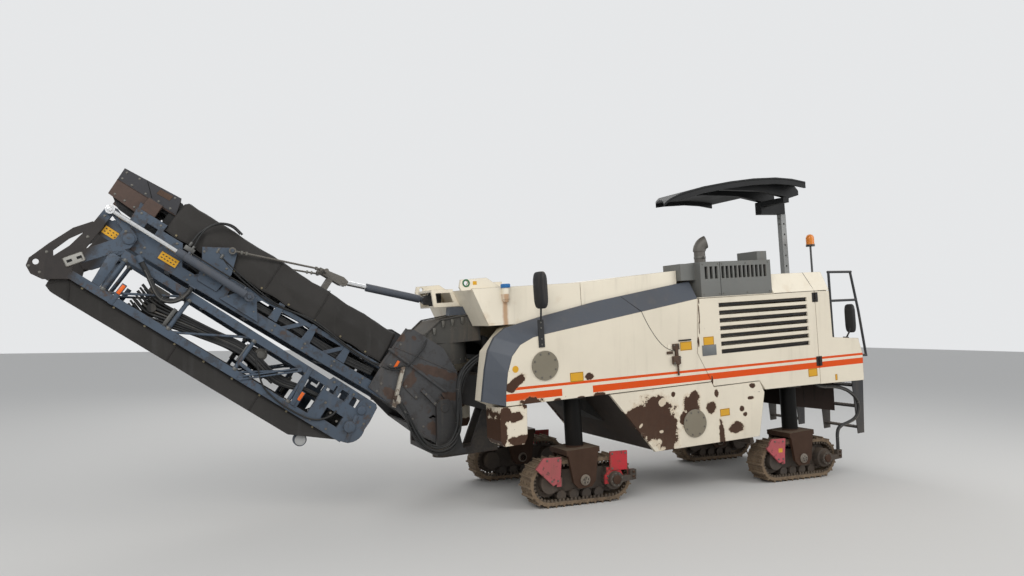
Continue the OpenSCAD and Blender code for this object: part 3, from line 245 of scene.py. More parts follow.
# where the paint is off: x, z, half length, half height, turn in degrees
BARE_PATCHES = (
    (2.39, 1.55, 0.135, 0.05, 32), (2.455, 1.49, 0.06, 0.05, 0), (1.484, 1.532, 0.05, 0.042, 0),
    (2.215, 1.315, 0.13, 0.062, 0), (1.9, 1.305, 0.055, 0.028, 0), (1.36, 1.312, 0.075, 0.03, 0),
    (1.6, 1.306, 0.045, 0.018, 0), (0.66, 0.95, 0.3, 0.245, 0), (0.47, 0.8, 0.14, 0.28, 0),
    (0.62, 1.155, 0.13, 0.075, 0), (0.93, 1.03, 0.18, 0.085, 20), (0.095, 1.045, 0.115, 0.135, 0),
    (0.045, 1.155, 0.075, 0.065, 0), (0.215, 0.9, 0.07, 0.09, 0), (-0.187, 0.995, 0.068, 0.072, 0),
    (-0.285, 1.165, 0.03, 0.045, 0), (0.358, 1.212, 0.028, 0.03, 0), (-0.562, 0.715, 0.105, 0.062, 0),
    (-0.86, 1.2, 0.05, 0.03, 0), (-0.66, 0.93, 0.035, 0.035, 0), (-0.71, 0.86, 0.03, 0.025, 0),
    (-0.815, 1.05, 0.055, 0.022, -6), (-0.33, 0.62, 0.04, 0.2, 0), (2.53, 1.215, 0.075, 0.08, 0),
    (2.42, 1.185, 0.1, 0.055, 0), (2.575, 1.04, 0.05, 0.16, 0), (2.36, 0.935, 0.16, 0.055, 0),
    (-0.1, 2.13, 0.01, 0.09, 0), (-0.088, 1.96, 0.008, 0.07, 0), (-0.065, 1.8, 0.012, 0.06, 0),
    (-0.108, 2.29, 0.008, 0.035, 0), (-0.235, 1.33, 0.012, 0.05, 0),
)
# cream left standing inside the big bare place
LEFT_PAINT = ((0.52, 1.135, 0.055, 0.045, 40), (0.93, 1.135, 0.07, 0.02, 10), (0.56, 0.8, 0.03, 0.018, 0),
              (0.66, 0.7, 0.05, 0.018, -30), (0.61, 0.625, 0.02, 0.035, 0), (0.84, 0.9, 0.03, 0.015, 40))


def in_body_frame(tree, place):
    """Object coordinates turned level with the body."""
    c, s = cos(NOSE_DOWN), sin(NOSE_DOWN)
    return lay(tree, "Mapping", {"Vector": place, "Rotation": (0, -NOSE_DOWN, 0),
                                 "Location": (MIDDLE * c, 0, MIDDLE * s)}).outputs[0]


def blotches(tree, level, spots, ragged):
    """Nearest of these spots' measures: under 1 inside a spot, with a ragged edge."""
    nearest = None
    for x, z, long, high, turn in spots:
        moved = lay(tree, "Mapping", {"Vector": level, "Location": (x, 0, z), "Rotation": (0, radians(turn), 0),
                                      "Scale": (long, 1e6, high)}, vector_type="TEXTURE").outputs[0]
        far = lay(tree, "VectorMath", {0: moved}, operation="LENGTH").outputs["Value"]
        nearest = far if nearest is None else calc(tree, "MINIMUM", nearest, far)
    return calc(tree, "ADD", nearest, ragged)


def band_mask(tree, value, low, high):
    return times(tree, calc(tree, "GREATER_THAN", value, low), calc(tree, "LESS_THAN", value, high))


def striped_and_flaked(tree, place, colour):
    level = in_body_frame(tree, place)
    x, _, z = axes(tree, level)
    out = calc(tree, "ABSOLUTE", axes(tree, place)[1])
    over = calc(tree, "MULTIPLY_ADD", x, STRIPE_RISE, STRIPE_LOW)
    over = calc(tree, "SUBTRACT", z, over)
    wide = band_mask(tree, over, 0, STRIPE_WIDE)
    thin = band_mask(tree, over, STRIPE_WIDE + STRIPE_GAP, STRIPE_WIDE + STRIPE_GAP + STRIPE_THIN)
    striped = calc(tree, "ADD", wide, thin, clamp=True)
    label = times(tree, band_mask(tree, x, LABEL[0], LABEL[1]), band_mask(tree, z, LABEL[2], LABEL[3]))
    striped = times(tree, striped, calc(tree, "SUBTRACT", 1, label))
    striped = times(tree, striped, calc(tree, "GREATER_THAN", out, 1.012))
    sun = speckle(tree, place, 3, 3)
    orange = tint(tree, times(tree, sun, 0.3), ORANGE, (0.58, 0.085, 0.008))
    colour = tint(tree, striped, colour, orange)
    # behind the louvres the sheet is painted dark as painted shade inside the open slots, and between the hinges'
    # knuckles the sheet was left dark
    louvre_shade = times(tree, calc(tree, "LESS_THAN", out, 0.999), band_mask(tree, x, *LOUVRE_X))
    louvre_shade = times(tree, louvre_shade, band_mask(tree, z, *LOUVRE_Z))
    hinge = times(tree, calc(tree, "GREATER_THAN", out, 1.0206), band_mask(tree, x, -2.075, -1.96))
    colour = tint(tree, calc(tree, "MAXIMUM", louvre_shade, hinge), colour, (0.022, 0.022, 0.023))
    ragged = calc(tree, "MULTIPLY_ADD", speckle(tree, place, 13, 5, rough=0.7), 1.7, -0.85)
    off = blotches(tree, level, BARE_PATCHES, ragged)
    kept = blotches(tree, level, LEFT_PAINT, times(tree, ragged, 0.8))
    # small chips everywhere, more of them near the lower edge
    chips = speckle(tree, place, 9, 6, rough=0.75)
    low = ease(tree, z, 1.75, 0.9)
    chipped = ease(tree, calc(tree, "ADD", chips, times(tree, low, 0.035)), 0.715, 0.725)
    bare = times(tree, ease(tree, off, 1.02, 0.96), ease(tree, kept, 0.95, 1.02))
    bare = calc(tree, "MAXIMUM", bare, chipped)
    halo = times(tree, ease(tree, off, 1.35, 0.98), 0.35)
    colour = tint(tree, halo, colour, (0.42, 0.27, 0.13))
    brown = tint(tree, speckle(tree, place, 16, 5), PRIMER, (0.066, 0.029, 0.015))
    return tint(tree, bare, colour, brown)


side_paint = coating("side_paint", CREAM, rough=0.48, mottle=0.16, soil=0.13, wear=0.45, gloss=0.22,
                     figure=striped_and_flaked)
dress(["side_panels", "rear_panels", "louvre_door", "drum_side_plates", "front_wings"], side_paint)

# Edge bands: a slate-blue pressed chamfer between the side panel and the tank, in two lengths,
# its rear length part of the service door.
SLATE = (0.074, 0.084, 0.102)
slate_paint = coating("slate_paint", SLATE, rough=0.42, mottle=0.25, soil=0.15, gloss=0.3, wear=0.3,
                      bare=0.05)
dress(["edge_bands"], slate_paint)


def mesh_of(name, shape, smooth=35):
    """The shape as a mesh, smooth but for the edges that are sharper than this."""
    mesh = bpy.data.meshes.new(name)
    shape.to_mesh(mesh)
    shape.free()
    mesh.shade_smooth()
    mesh.set_sharp_from_angle(angle=radians(smooth))
    return mesh


def new_piece(name, shape, material, body="chassis", where=BODY, round_off=0.0, smooth=35):
    """A finished mesh from a bmesh drawn in the frame of where, riding on a body."""
    if round_off:
        sharp = [e for e in shape.edges if e.is_manifold and e.calc_face_angle(0) > 0.5]
        bmesh.ops.bevel(shape, geom=sharp, offset=round_off, segments=2, affect="EDGES", profile=0.5)
    bmesh.ops.recalc_face_normals(shape, faces=shape.faces)
    shape.transform(where)
    mesh = mesh_of(name, shape, smooth)
    mesh.materials.append(material)
    piece = stand(name, mesh)
    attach(piece, body)
    return piece


def turned(degrees, axis="Y"):
    return Matrix.Rotation(radians(degrees), 4, axis)


def block(shape, x, y, z, turn=None):
    """A box from x[0] to x[1] and so on, perhaps moved by a matrix."""
    size = [b - a for a, b in (x, y, z)]
    middle = [(a + b) / 2 for a, b in (x, y, z)]
    where = Matrix.Translation(middle) @ Matrix.Diagonal((*size, 1))
    bmesh.ops.create_cube(shape, size=1, matrix=(turn or Matrix()) @ where)


def bar(shape, start, end, radius, sides=16, tip=None):
    """A round bar or cone between two points."""
    start, end = Vector(start), Vector(end)
    along = end - start
    where = Matrix.Translation((start + end) / 2) @ along.to_track_quat("Z", "Y").to_matrix().to_4x4()
    bmesh.ops.create_cone(shape, cap_ends=True, segments=sides, radius1=radius,
                          radius2=radius if tip is None else tip, depth=along.length, matrix=where)


def walled(shape, low, high):
    """A solid between two outlines with as many corners."""
    low, high = [[shape.verts.new(p) for p in points] for points in (low, high)]
    shape.faces.new(low)
    shape.faces.new(high[::-1])
    for i in range(len(low)):
        j = (i + 1) % len(low)
        shape.faces.new((low[i], high[i], high[j], low[j]))


def plate(shape, outline, y0, y1):
    """An upright plate of this x and z outline, from y0 to y1."""
    walled(shape, *([(x, y, z) for x, z in outline] for y in (y0, y1)))


SIDES = ((1, "left"), (-1, "right"))


def outward(side, a, b, face=0.0):
    """From a to b out from a face on this side, the smaller first."""
    return sorted((face + side * a, face + side * b))


def around(x, y, z, radius, count, first=0, closed=False):
    """Places on an upright circle that faces sideways, the first one at this angle."""
    turns = [radians(first + 360 / count * k) for k in range(count + closed)]
    return [(x + radius * cos(a), y, z + radius * sin(a)) for a in turns]


def about(middle, half):
    return middle - half, middle + half


def boxes(name, spans, material, body="chassis", where=BODY, round_off=0.0):
    """A piece made of boxes, each given by its x, y and z from and to."""
    shape = bmesh.new()
    for span in spans:
        block(shape, *span)
    return new_piece(name, shape, material, body, where, round_off)


def geometry_tree(name, sizes):
    """A geometry tree with these named inputs: label, socket kind, value."""
    tree = bpy.data.node_groups.new(name, "GeometryNodeTree")
    tree.interface.new_socket("Geometry", in_out="INPUT", socket_type="NodeSocketGeometry")
    for label, kind, value in sizes:
        socket = tree.interface.new_socket(label, in_out="INPUT", socket_type="NodeSocket" + kind)
        if value is not None:
            socket.default_value = value
    tree.interface.new_socket("Geometry", in_out="OUTPUT", socket_type="NodeSocketGeometry")
    return tree, tree.nodes.new("NodeGroupInput").outputs, tree.nodes.new("NodeGroupOutput").inputs[0]


def settle(thing):
    """Its modifiers' result becomes its plain mesh."""
    graph = bpy.context.evaluated_depsgraph_get()
    mesh = bpy.data.meshes.new_from_object(thing.evaluated_get(graph), depsgraph=graph)
    thing.modifiers.clear()
    thing.data = mesh
    return mesh


def made_by(tree, name, start, sizes, body, where=BODY):
    """The plain mesh that the tree makes from start, placed by where and riding on a body, if one is named."""
    start.transform(where)
    source = stand(name, start)
    maker = source.modifiers.new("maker", "NODES")
    maker.node_group = tree
    for item in tree.interface.items_tree:
        if item.in_out == "INPUT" and item.name in sizes:
            maker[item.identifier] = sizes[item.name]
    settle(source)
    if body:
        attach(source, body)
    return source


def points_mesh(places):
    mesh = bpy.data.meshes.new("places")
    mesh.from_pydata([tuple(p) for p in places], [], [])
    return mesh


def line_mesh(route):
    mesh = bpy.data.meshes.new("route")
    mesh.from_pydata([tuple(p) for p in route], [(i, i + 1) for i in range(len(route) - 1)], [])
    return mesh


def geo(tree, kind, sockets=None, **settings):
    return put(tree, "GeometryNode" + kind, sockets, **settings)


def realised(tree, given, out, made):
    """The tree's end: what is made becomes real and takes its finish."""
    real = geo(tree, "RealizeInstances", {0: made.outputs[0]})
    done = geo(tree, "SetMaterial", {"Geometry": real.outputs[0], "Material": given["Finish"]})
    tree.links.new(done.outputs[0], out)


# bolt heads on washers, one at each vertex, all along one axis
bolt_tree, given, out = geometry_tree("bolts", (
    ("Axis", "Vector", (0, 1, 0)), ("Radius", "Float", 0.012), ("Height", "Float", 0.009),
    ("Finish", "Material", None)))
washer = geo(bolt_tree, "MeshCylinder", {"Vertices": 14, "Radius": given["Radius"]})
washer_high = times(bolt_tree, given["Height"], 0.3)
bolt_tree.links.new(washer_high, washer.inputs["Depth"])
head_wide = times(bolt_tree, given["Radius"], 0.66)
head = geo(bolt_tree, "MeshCylinder", {"Vertices": 6, "Radius": head_wide, "Depth": given["Height"]})
lift = times(bolt_tree, given["Height"], 0.5)
lifted = geo(bolt_tree, "Transform", {
    "Geometry": head.outputs[0], "Translation": lay(bolt_tree, "CombineXYZ", {2: lift}).outputs[0]})
both = geo(bolt_tree, "JoinGeometry")
bolt_tree.links.new(washer.outputs[0], both.inputs[0])
bolt_tree.links.new(lifted.outputs[0], both.inputs[0])
aimed = put(bolt_tree, "FunctionNodeAlignRotationToVector", {"Vector": given["Axis"]}, axis="Z")
spread = geo(bolt_tree, "InstanceOnPoints", {
    "Points": given["Geometry"], "Instance": both.outputs[0], "Rotation": aimed.outputs[0]})
realised(bolt_tree, given, out, spread)


def bolts(name, places, axis, radius, body="chassis", where=BODY, material=None):
    axis = where.to_3x3() @ Vector(axis)
    return made_by(bolt_tree, name, points_mesh(places), {
        "Axis": axis, "Radius": radius, "Height": radius * 0.8, "Finish": material or bolt_steel}, body, where)


# hoses, cables and bent tubes: a round section swept along a smooth route, perhaps ribbed
sweep_tree, given, out = geometry_tree("sweep", (
    ("Radius", "Float", 0.02), ("Step", "Float", 0.02), ("Sides", "Int", 10),
    ("Rib pitch", "Float", 0.03), ("Rib depth", "Float", 0.0), ("Finish", "Material", None)))
line = geo(sweep_tree, "MeshToCurve", {0: given["Geometry"]})
line = geo(sweep_tree, "CurveSplineType", {0: line.outputs[0]}, spline_type="CATMULL_ROM")
fine_line = geo(sweep_tree, "ResampleCurve", {"Curve": line.outputs[0], "Length": given["Step"]},
                mode="LENGTH")
along = geo(sweep_tree, "SplineParameter").outputs["Length"]
turn = calc(sweep_tree, "DIVIDE", along, given["Rib pitch"])
turn = times(sweep_tree, turn, 2 * pi)
wave = calc(sweep_tree, "COSINE", turn)
wave = calc(sweep_tree, "MULTIPLY_ADD", wave, given["Rib depth"], 1)
sized = geo(sweep_tree, "SetCurveRadius", {0: fine_line.outputs[0], "Radius": wave})
ring = geo(sweep_tree, "CurvePrimitiveCircle", {"Resolution": given["Sides"], "Radius": given["Radius"]})
tube = geo(sweep_tree, "CurveToMesh", {
    "Curve": sized.outputs[0], "Profile Curve": ring.outputs[0], "Fill Caps": True})
realised(sweep_tree, given, out, geo(sweep_tree, "SetShadeSmooth", {0: tube.outputs[0]}))


def swept(name, route, radius, material, body="chassis", where=BODY, rib=0.0, pitch=0.03, step=0.02, sides=10):
    return made_by(sweep_tree, name, line_mesh(route), {
        "Radius": radius, "Step": step if not rib else pitch / 6, "Sides": sides, "Rib pitch": pitch,
        "Rib depth": rib, "Finish": material}, body, where)


# the seams where the rear length of the band and the service door open
joint_black = coating("joint_black", 0.012, rough=0.9, soil=0.2, wear=0)
SIDE = 1.0203
seam_route = ((0.733, SIDE, 2.215), (0.65, SIDE, 2.05), (0.547, SIDE, 1.894), (0.45, SIDE, 1.79), (0.344, SIDE, 1.731),
              (0.3, SIDE, 1.722))
swept("door_seam", seam_route, 0.0035, joint_black, step=0.04, sides=6)
swept("band_seam", ((0.903, 0.861, 2.402), (0.818, 0.94, 2.308), (0.733, 1.019, 2.216)), 0.0035, joint_black, "chassis",
      step=0.05, sides=6)
bolt_steel = coating("bolt_steel", (0.16, 0.155, 0.14), rough=0.5, metal=0.6, soil=0.4, wear=0.3, edge=0.002)

# Three hydraulic lines hang free in ribbed black sleeves: from the wing down to the conveyor's foot, under the
# fold hinge, and from the rear panel to the track motor of the rear left leg. Thin lines are strapped to them.
FOLD_HINGE = Vector((6.01, 0, 3.2))
REAR = BODY @ Matrix.Translation(FOLD_HINGE) @ turned(-35.4)
FRONT = BODY @ Matrix.Translation(FOLD_HINGE) @ turned(-37.2)
ON_REAR, ON_FRONT = ("rear_conveyor", REAR), ("front_conveyor", FRONT)
SLEW_ROUTE = (
    (3.533, 0.54, 1.416), (3.468, 0.54, 1.289), (3.374, 0.54, 1.085), (3.26, 0.54, 0.935), (3.128, 0.54, 0.88),
    (2.993, 0.54, 0.93), (2.904, 0.54, 1.077), (2.882, 0.54, 1.243), (2.871, 0.54, 1.4), (2.86, 0.54, 1.54),
    (2.815, 0.545, 1.67), (2.71, 0.555, 1.77), (2.58, 0.57, 1.838), (2.44, 0.586, 1.866), (2.34, 0.592, 1.87),
    (2.26, 0.592, 1.87))
FOLD_ROUTE = (
    (-0.209, 0.51, -0.126), (-0.303, 0.51, -0.183), (-0.38, 0.51, -0.238), (-0.455, 0.51, -0.29),
    (-0.535, 0.51, -0.318), (-0.615, 0.51, -0.296), (-0.668, 0.51, -0.236), (-0.692, 0.51, -0.17),
    (-0.697, 0.51, -0.12), (-0.697, 0.51, -0.09))
LEG_ROUTE = (
    (-1.96, 0.925, 1.32), (-1.96, 0.925, 1.24), (-1.995, 0.926, 1.14), (-2.075, 0.927, 1.07), (-2.19, 0.928, 1.044),
    (-2.364, 0.93, 1.025), (-2.5, 0.93, 0.992), (-2.62, 0.93, 0.938), (-2.73, 0.93, 0.85), (-2.785, 0.93, 0.74),
    (-2.765, 0.932, 0.64), (-2.69, 0.934, 0.566), (-2.56, 0.936, 0.526), (-2.43, 0.94, 0.502), (-2.355, 0.952, 0.47),
    (-2.304, 0.974, 0.41), (-2.282, 0.99, 0.34), (-2.273, 0.996, 0.271), (-2.269, 0.996, 0.211))
SLEW_BEND = ((2.42, 0.58, 1.86), (2.86, 0.54, 1.6))
# node, route, its frame, radius, rib pitch, the bodies of its far and near end, and where the bend between them lies
HOSES = (
    ("slew_hose", SLEW_ROUTE, BODY, 0.028, 0.02, "chassis", "slewing_bracket", *SLEW_BEND),
    ("fold_hose", FOLD_ROUTE, REAR, 0.024, 0.018, "rear_conveyor", "front_conveyor", (-0.66, 0.51, -0.2),
     (-0.24, 0.51, -0.2)),
    ("rear_hose", LEG_ROUTE, BODY, 0.022, 0.016, "chassis", "leg_rl", (-2.6, 0.93, 0.88), (-2.6, 0.93, 0.5)),
)


def eased(points, steps=6):
    """Points close together on the smooth line through these ones."""
    ends = [points[0], *points, points[-1]]
    fine = []
    for a, b, c, d in zip(ends, ends[1:], ends[2:], ends[3:]):
        a, b, c, d = (Vector(p) for p in (a, b, c, d))
        for k in range(steps):
            t = k / steps
            fine.append((2 * b + (c - a) * t + (2 * a - 5 * b + 4 * c - d) * t * t
                         + (3 * b - a - 3 * c + d) * t ** 3) / 2)
    return [*fine, Vector(points[-1])]


hose_black = coating("hose_black", (0.014, 0.0145, 0.015), rough=0.5, mottle=0.4, soil=0.3,
                     soil_colour=(0.085, 0.078, 0.068), wear=0.35, bare=(0.07, 0.066, 0.06), edge=0.002)
cable_grey = coating("cable_grey", (0.075, 0.074, 0.07), rough=0.6, mottle=0.4, soil=0.5, wear=0.1, edge=0.001)
tie_steel = coating("tie_steel", (0.12, 0.12, 0.115), rough=0.45, metal=0.5, soil=0.4, wear=0.3, edge=0.001)
for name, route, where, radius, pitch, far, near, bend_from, bend_to in HOSES:
    fine = eased(route)
    sleeve = swept(name + "_sleeve", fine, radius, hose_black, None, where, rib=0.045, pitch=pitch, sides=14)
    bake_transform(sleeve)
    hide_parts(name)
    # two thin lines ride on the sleeve, on its outer side, held by steel ties
    for k, (aside, up) in enumerate(((0.62, 0.85), (0.98, -0.4))):
        thin = [p + Vector((0, radius * aside, radius * up)) for p in fine[4:-5]]
        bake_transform(swept(f"{name}_line_{k}", thin, radius * 0.26, (hose_black, cable_grey)[k], None, where, sides=8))
    for k in range(10, len(fine) - 8, 14):
        ahead = (fine[k + 1] - fine[k - 1]).normalized()
        out_way = Vector((0, 1, 0))
        over = ahead.cross(out_way)
        loop = [fine[k] + radius * (1.02 * sin(a) * over + (1.02 * cos(a) + 0.12) * out_way)
                for a in [radians(20 * i) for i in range(19)]]
        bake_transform(swept(f"{name}_tie_{k}", loop, 0.0035, tie_steel, None, where, step=0.008, sides=6))

# Round covers: grey-green cast discs over the leg cylinder's pin and the gearbox's filler, eight bolts each.
DISC_GREY = (0.21, 0.185, 0.135)
DISCS = ((2.03, 1.7, 0.16), (0.07, 0.84, 0.165))
DISC_FACE = 1.034
disc_paint = coating("disc_paint", DISC_GREY, rough=0.6, mottle=0.25, soil=0.35, wear=0.6, bare=(0.35, 0.33, 0.3))
dress(["cover_discs"], disc_paint)
for side, tag in SIDES:
    heads = [place for x, z, r in DISCS for place in around(x, side * DISC_FACE, z, 0.84 * r, 8, 22)]
    bolts("disc_bolts_" + tag, heads, (0, side, 0), 0.011)

# Water tank and engine cover: cream sheet, washed by rain, with a rust run under the filler neck.
RUN_X = 2.375               # rust run below the filler neck
RUN_TOP = 2.5


def rust_run(tree, place, colour):
    level = in_body_frame(tree, place)
    x, y, z = axes(tree, level)
    waver = calc(tree, "MULTIPLY_ADD", speckle(tree, place, 7), 0.05, -0.025)
    aside = calc(tree, "ABSOLUTE", calc(tree, "ADD", calc(tree, "SUBTRACT", x, RUN_X), waver))
    streak = times(tree, ease(tree, aside, 0.045, 0.012), band_mask(tree, z, 2.1, RUN_TOP))
    streak = times(tree, streak, calc(tree, "GREATER_THAN", y, 0.8))
    colour = tint(tree, times(tree, streak, 0.75), colour, (0.42, 0.2, 0.07))
    foot = times(tree, ease(tree, speckle(tree, place, 5, 5), 0.55, 0.75), ease(tree, z, 2.6, 2.2))
    colour = tint(tree, times(tree, foot, 0.4), colour, (0.5, 0.33, 0.17))
    return colour


tank_paint = coating("tank_paint", (0.84, 0.765, 0.62), rough=0.42, mottle=0.12, soil=0.2, wear=0.5,
                     bare=(0.1, 0.075, 0.055), figure=rust_run)
dress(["water_tank", "engine_cover", "hood_shell", "lift_console"], tank_paint)

# Filler neck: a short cream pipe welded to the tank's upper edge, closed by a blue screw cap.
NECK = Vector((2.365, 0.845, 2.44))
neck = bmesh.new()
bar(neck, NECK, NECK + Vector((0, 0, 0.135)), 0.04, 24)
bar(neck, NECK - Vector((0, 0, 0.03)), NECK, 0.026, 24, 0.04)
bar(neck, NECK + Vector((0, -0.05, 0.03)), NECK + Vector((0, 0, 0.03)), 0.032, 20)
new_piece("filler_neck", neck, tank_paint, round_off=0.004)
cap_blue = coating("cap_blue", (0.02, 0.16, 0.42), rough=0.35, soil=0.15, wear=0.1, bare=0.3, edge=0.003)
cap = bmesh.new()
bar(cap, NECK + Vector((0, 0, 0.128)), NECK + Vector((0, 0, 0.172)), 0.049, 28)
for k in range(12):
    turn = Matrix.Translation(NECK) @ turned(30 * k, "Z")
    block(cap, (0.044, 0.053), (-0.005, 0.005), (0.13, 0.168), turn)
new_piece("filler_cap", cap, cap_blue, round_off=0.003)

# Lifting lugs on the tank's front corners: a green ring round the eye and a small yellow square show where slings go.
green = coating("mark_green", (0.01, 0.13, 0.045), rough=0.5, soil=0.1, wear=0.1, edge=0.001)
yellow = coating("plate_yellow", (0.7, 0.36, 0.012), rough=0.45, mottle=0.3, soil=0.25, wear=0.2,
                 bare=(0.1, 0.07, 0.02), edge=0.001)
ink = coating("plate_black", (0.018, 0.017, 0.015), rough=0.5, soil=0.2, wear=0.1, edge=0.001)
for side, tag in SIDES:
    swept("lug_ring_" + tag, around(2.8, side * 0.7905, 2.64, 0.035, 24, closed=True), 0.0085, green, "chassis",
          step=0.008, sides=8)
    boxes("lug_mark_" + tag, [((2.677, 2.723), outward(side, 0.7895, 0.7915), (2.618, 2.658))], yellow)

# Yellow plates: blank adhesive signs on the side, with a thin black border line.
# name, body, middle x, middle z, half width, half height
PLATES = (
    ("plate_by_disc", "chassis", 1.643, 1.54, 0.085, 0.052),
    ("plate_by_latch", "chassis", 0.126, 1.766, 0.086, 0.052),
    ("plate_on_door", "door", -0.218, 1.8, 0.08, 0.053),
    ("plate_door_low", "door", -1.892, 1.265, 0.08, 0.052),
    ("plate_side_low", "chassis", -0.395, 0.917, 0.075, 0.045),
    ("plate_rear_small", "chassis", -2.307, 1.165, 0.02, 0.04),
)
SIGN_FACE = (1.0201, 1.0215)
INK_FACE = (1.0213, 1.022)
INSET, LINE = 0.006, 0.0035     # of the border line: from the sign's edge, and its width
for name, body, x, z, half_x, half_z in PLATES:
    boxes(name, [(about(x, half_x), SIGN_FACE, about(z, half_z))], yellow, body)
    in_x, in_z = half_x - INSET, half_z - INSET
    edges = [(about(x + end * in_x, LINE / 2), INK_FACE, about(z, in_z)) for end in (-1, 1)]
    edges += [(about(x, in_x), INK_FACE, about(z + end * in_z, LINE / 2)) for end in (-1, 1)]
    boxes(name + "_border", edges, ink, body)
round_sign = bmesh.new()
bar(round_sign, (2.385, 1.0201, 1.691), (2.385, 1.0215, 1.691), 0.037, 32)
new_piece("plate_round", round_sign, yellow)

# Latch of the service door: a rusted strike bolted over the seam, a tongue hanging from it,
# a small pale plate beside it and a black rubber bar above the sign.
rusty = coating("rusty_iron", (0.085, 0.052, 0.035), rough=0.85, mottle=0.6, soil=0.5, soil_colour=(0.2, 0.1, 0.045),
                wear=0.5, bare=(0.25, 0.14, 0.07), dent=0.5, edge=0.004)
latch = bmesh.new()
block(latch, (0.235, 0.33), (1.02, 1.042), (1.735, 1.805))
block(latch, (0.24, 0.345), (1.02, 1.06), (1.565, 1.66))
block(latch, (0.262, 0.3), (1.02, 1.05), (1.64, 1.74))
bar(latch, (0.275, 1.04, 1.6), (0.268, 1.034, 1.43), 0.011)
bar(latch, (0.315, 1.045, 1.615), (0.262, 1.048, 1.56), 0.018)
block(latch, (0.33, 0.415), (1.02, 1.036), (1.69, 1.722))
new_piece("door_latch", latch, rusty, round_off=0.005)
heads = ((0.25, 1.042, 1.79), (0.315, 1.042, 1.79), (0.25, 1.06, 1.64), (0.335, 1.06, 1.58))
bolts("latch_bolts", heads, (0, 1, 0), 0.012)
boxes("latch_plate", [((0.335, 0.395), (1.0201, 1.022), (1.75, 1.806))], tank_paint)
rubber = coating("black_rubber", 0.018, rough=0.75, soil=0.35, wear=0.1, bare=0.06,
                 edge=0.003)
boxes("latch_bar", [((0.05, 0.233), (1.02, 1.034), (1.828, 1.846))], rubber, round_off=0.004)

# Louvred door: two black hinges on the rear seam, fins behind the open slots painted dark as painted shade, a lock
# plate at the front.
heads = [(x, 1.0245, z + dz) for z in (2.245, 1.405) for x in (-2.048, -1.988) for dz in (-0.045, 0, 0.045)]
bolts("hinge_bolts", heads, (0, 1, 0), 0.009, "door", material=ink)
SLATS = 7
SLATS_X = (-1.87, -0.41)
SLATS_LOW, SLATS_TOP = 1.63, 2.295
slat_tree, given, out = geometry_tree("slats", (
    ("Slat", "Object", None), ("Count", "Int", 7), ("Step", "Vector", (0, 0, 0.1)), ("Finish", "Material", None)))
row = geo(slat_tree, "MeshLine", {"Count": given["Count"], "Offset": given["Step"]})
item = geo(slat_tree, "ObjectInfo", {"Object": given["Slat"]})
spread = geo(slat_tree, "InstanceOnPoints",
             {"Points": row.outputs[0], "Instance": item.outputs["Geometry"]})
realised(slat_tree, given, out, spread)
rise = (SLATS_TOP - SLATS_LOW) / SLATS
one = bmesh.new()
outline = ((0.996, 0.044), (1.004, 0.047), (1.004, 0.043), (0.989, 0.02), (0.987, 0.023), (0.991, 0.032))
walled(one, *([(x, y, SLATS_LOW + z) for y, z in outline] for x in SLATS_X))
bmesh.ops.recalc_face_normals(one, faces=one.faces)
one.transform(BODY)
slat_mesh = bpy.data.meshes.new("slat")
one.to_mesh(slat_mesh)
slat = stand("slat", slat_mesh)
# the fins take the frame's dark steel, here as painted shade of the open slots
made_by(slat_tree, "louvre_slats", points_mesh([(0, 0, 0)]), {
    "Slat": slat, "Count": SLATS, "Step": BODY.to_3x3() @ Vector((0, 0, rise)), "Finish": dark_steel}, "door", Matrix())
bpy.data.objects.remove(slat)
sticker = coating("worn_sticker", (0.17, 0.18, 0.18), rough=0.35, mottle=0.7, soil=0.2, wear=0.2, bare=0.4,
                  edge=0.002)
boxes("lock_plate", [((-0.325, -0.112), (1.0202, 1.026), (1.625, 1.752))], sticker, "door", round_off=0.002)

# Hood: a fine seam runs up its side from the door's rear edge to the top, and a drip rail lies under the intake box.
swept("hood_seam", ((-2.022, 1.0203, 2.322), (-1.985, 0.962, 2.452), (-1.952, 0.9008, 2.5803)), 0.003, joint_black,
      step=0.05, sides=6)
boxes("drip_rail", [((-1.315, -0.105), (0.995, 1.028), (2.326, 2.334))], tank_paint, round_off=0.002)

# Intake box: folded grey-green sheet, two panels screwed on, with upright slots.
GREY_SHEET = (0.15, 0.152, 0.142)
grey_sheet = coating("grey_sheet", GREY_SHEET, rough=0.5, mottle=0.3, soil=0.35, wear=0.35, bare=(0.1, 0.05, 0.03))
dress(["air_intake_box"], grey_sheet)
bolts("intake_screws", [(x, 0.995, z) for x in (-0.22, -0.46, -0.52, -0.9, -1.27) for z in (2.365, 2.735)], (0, 1, 0),
      0.009)
swept("intake_seam", ((-0.487, 0.9952, 2.345), (-0.487, 0.9952, 2.755)), 0.003, joint_black, step=0.1,
      sides=6)

# Exhaust: a rolled steel elbow clamped on a short neck, cut off square to face the rear.
exhaust_steel = coating("exhaust_steel", (0.15, 0.14, 0.125), rough=0.55, metal=0.35, mottle=0.6, soil=0.3,
                        soil_colour=(0.1, 0.055, 0.03), wear=0.4, bare=(0.3, 0.28, 0.25), edge=0.004)
dress(["exhaust_pipe"], exhaust_steel)
EXHAUST_X, EXHAUST_Y = -0.43, 0.7
CLAMP_LOW, CLAMP_TOP = 2.765 + 0.055, 2.765 + 0.085
clamp = bmesh.new()
bar(clamp, (EXHAUST_X, EXHAUST_Y, CLAMP_LOW), (EXHAUST_X, EXHAUST_Y, CLAMP_TOP), 0.074, 40)
block(clamp, (EXHAUST_X - 0.012, EXHAUST_X + 0.012), (EXHAUST_Y + 0.068, EXHAUST_Y + 0.1), (CLAMP_LOW, CLAMP_TOP))
new_piece("exhaust_clamp", clamp, bolt_steel, round_off=0.002)

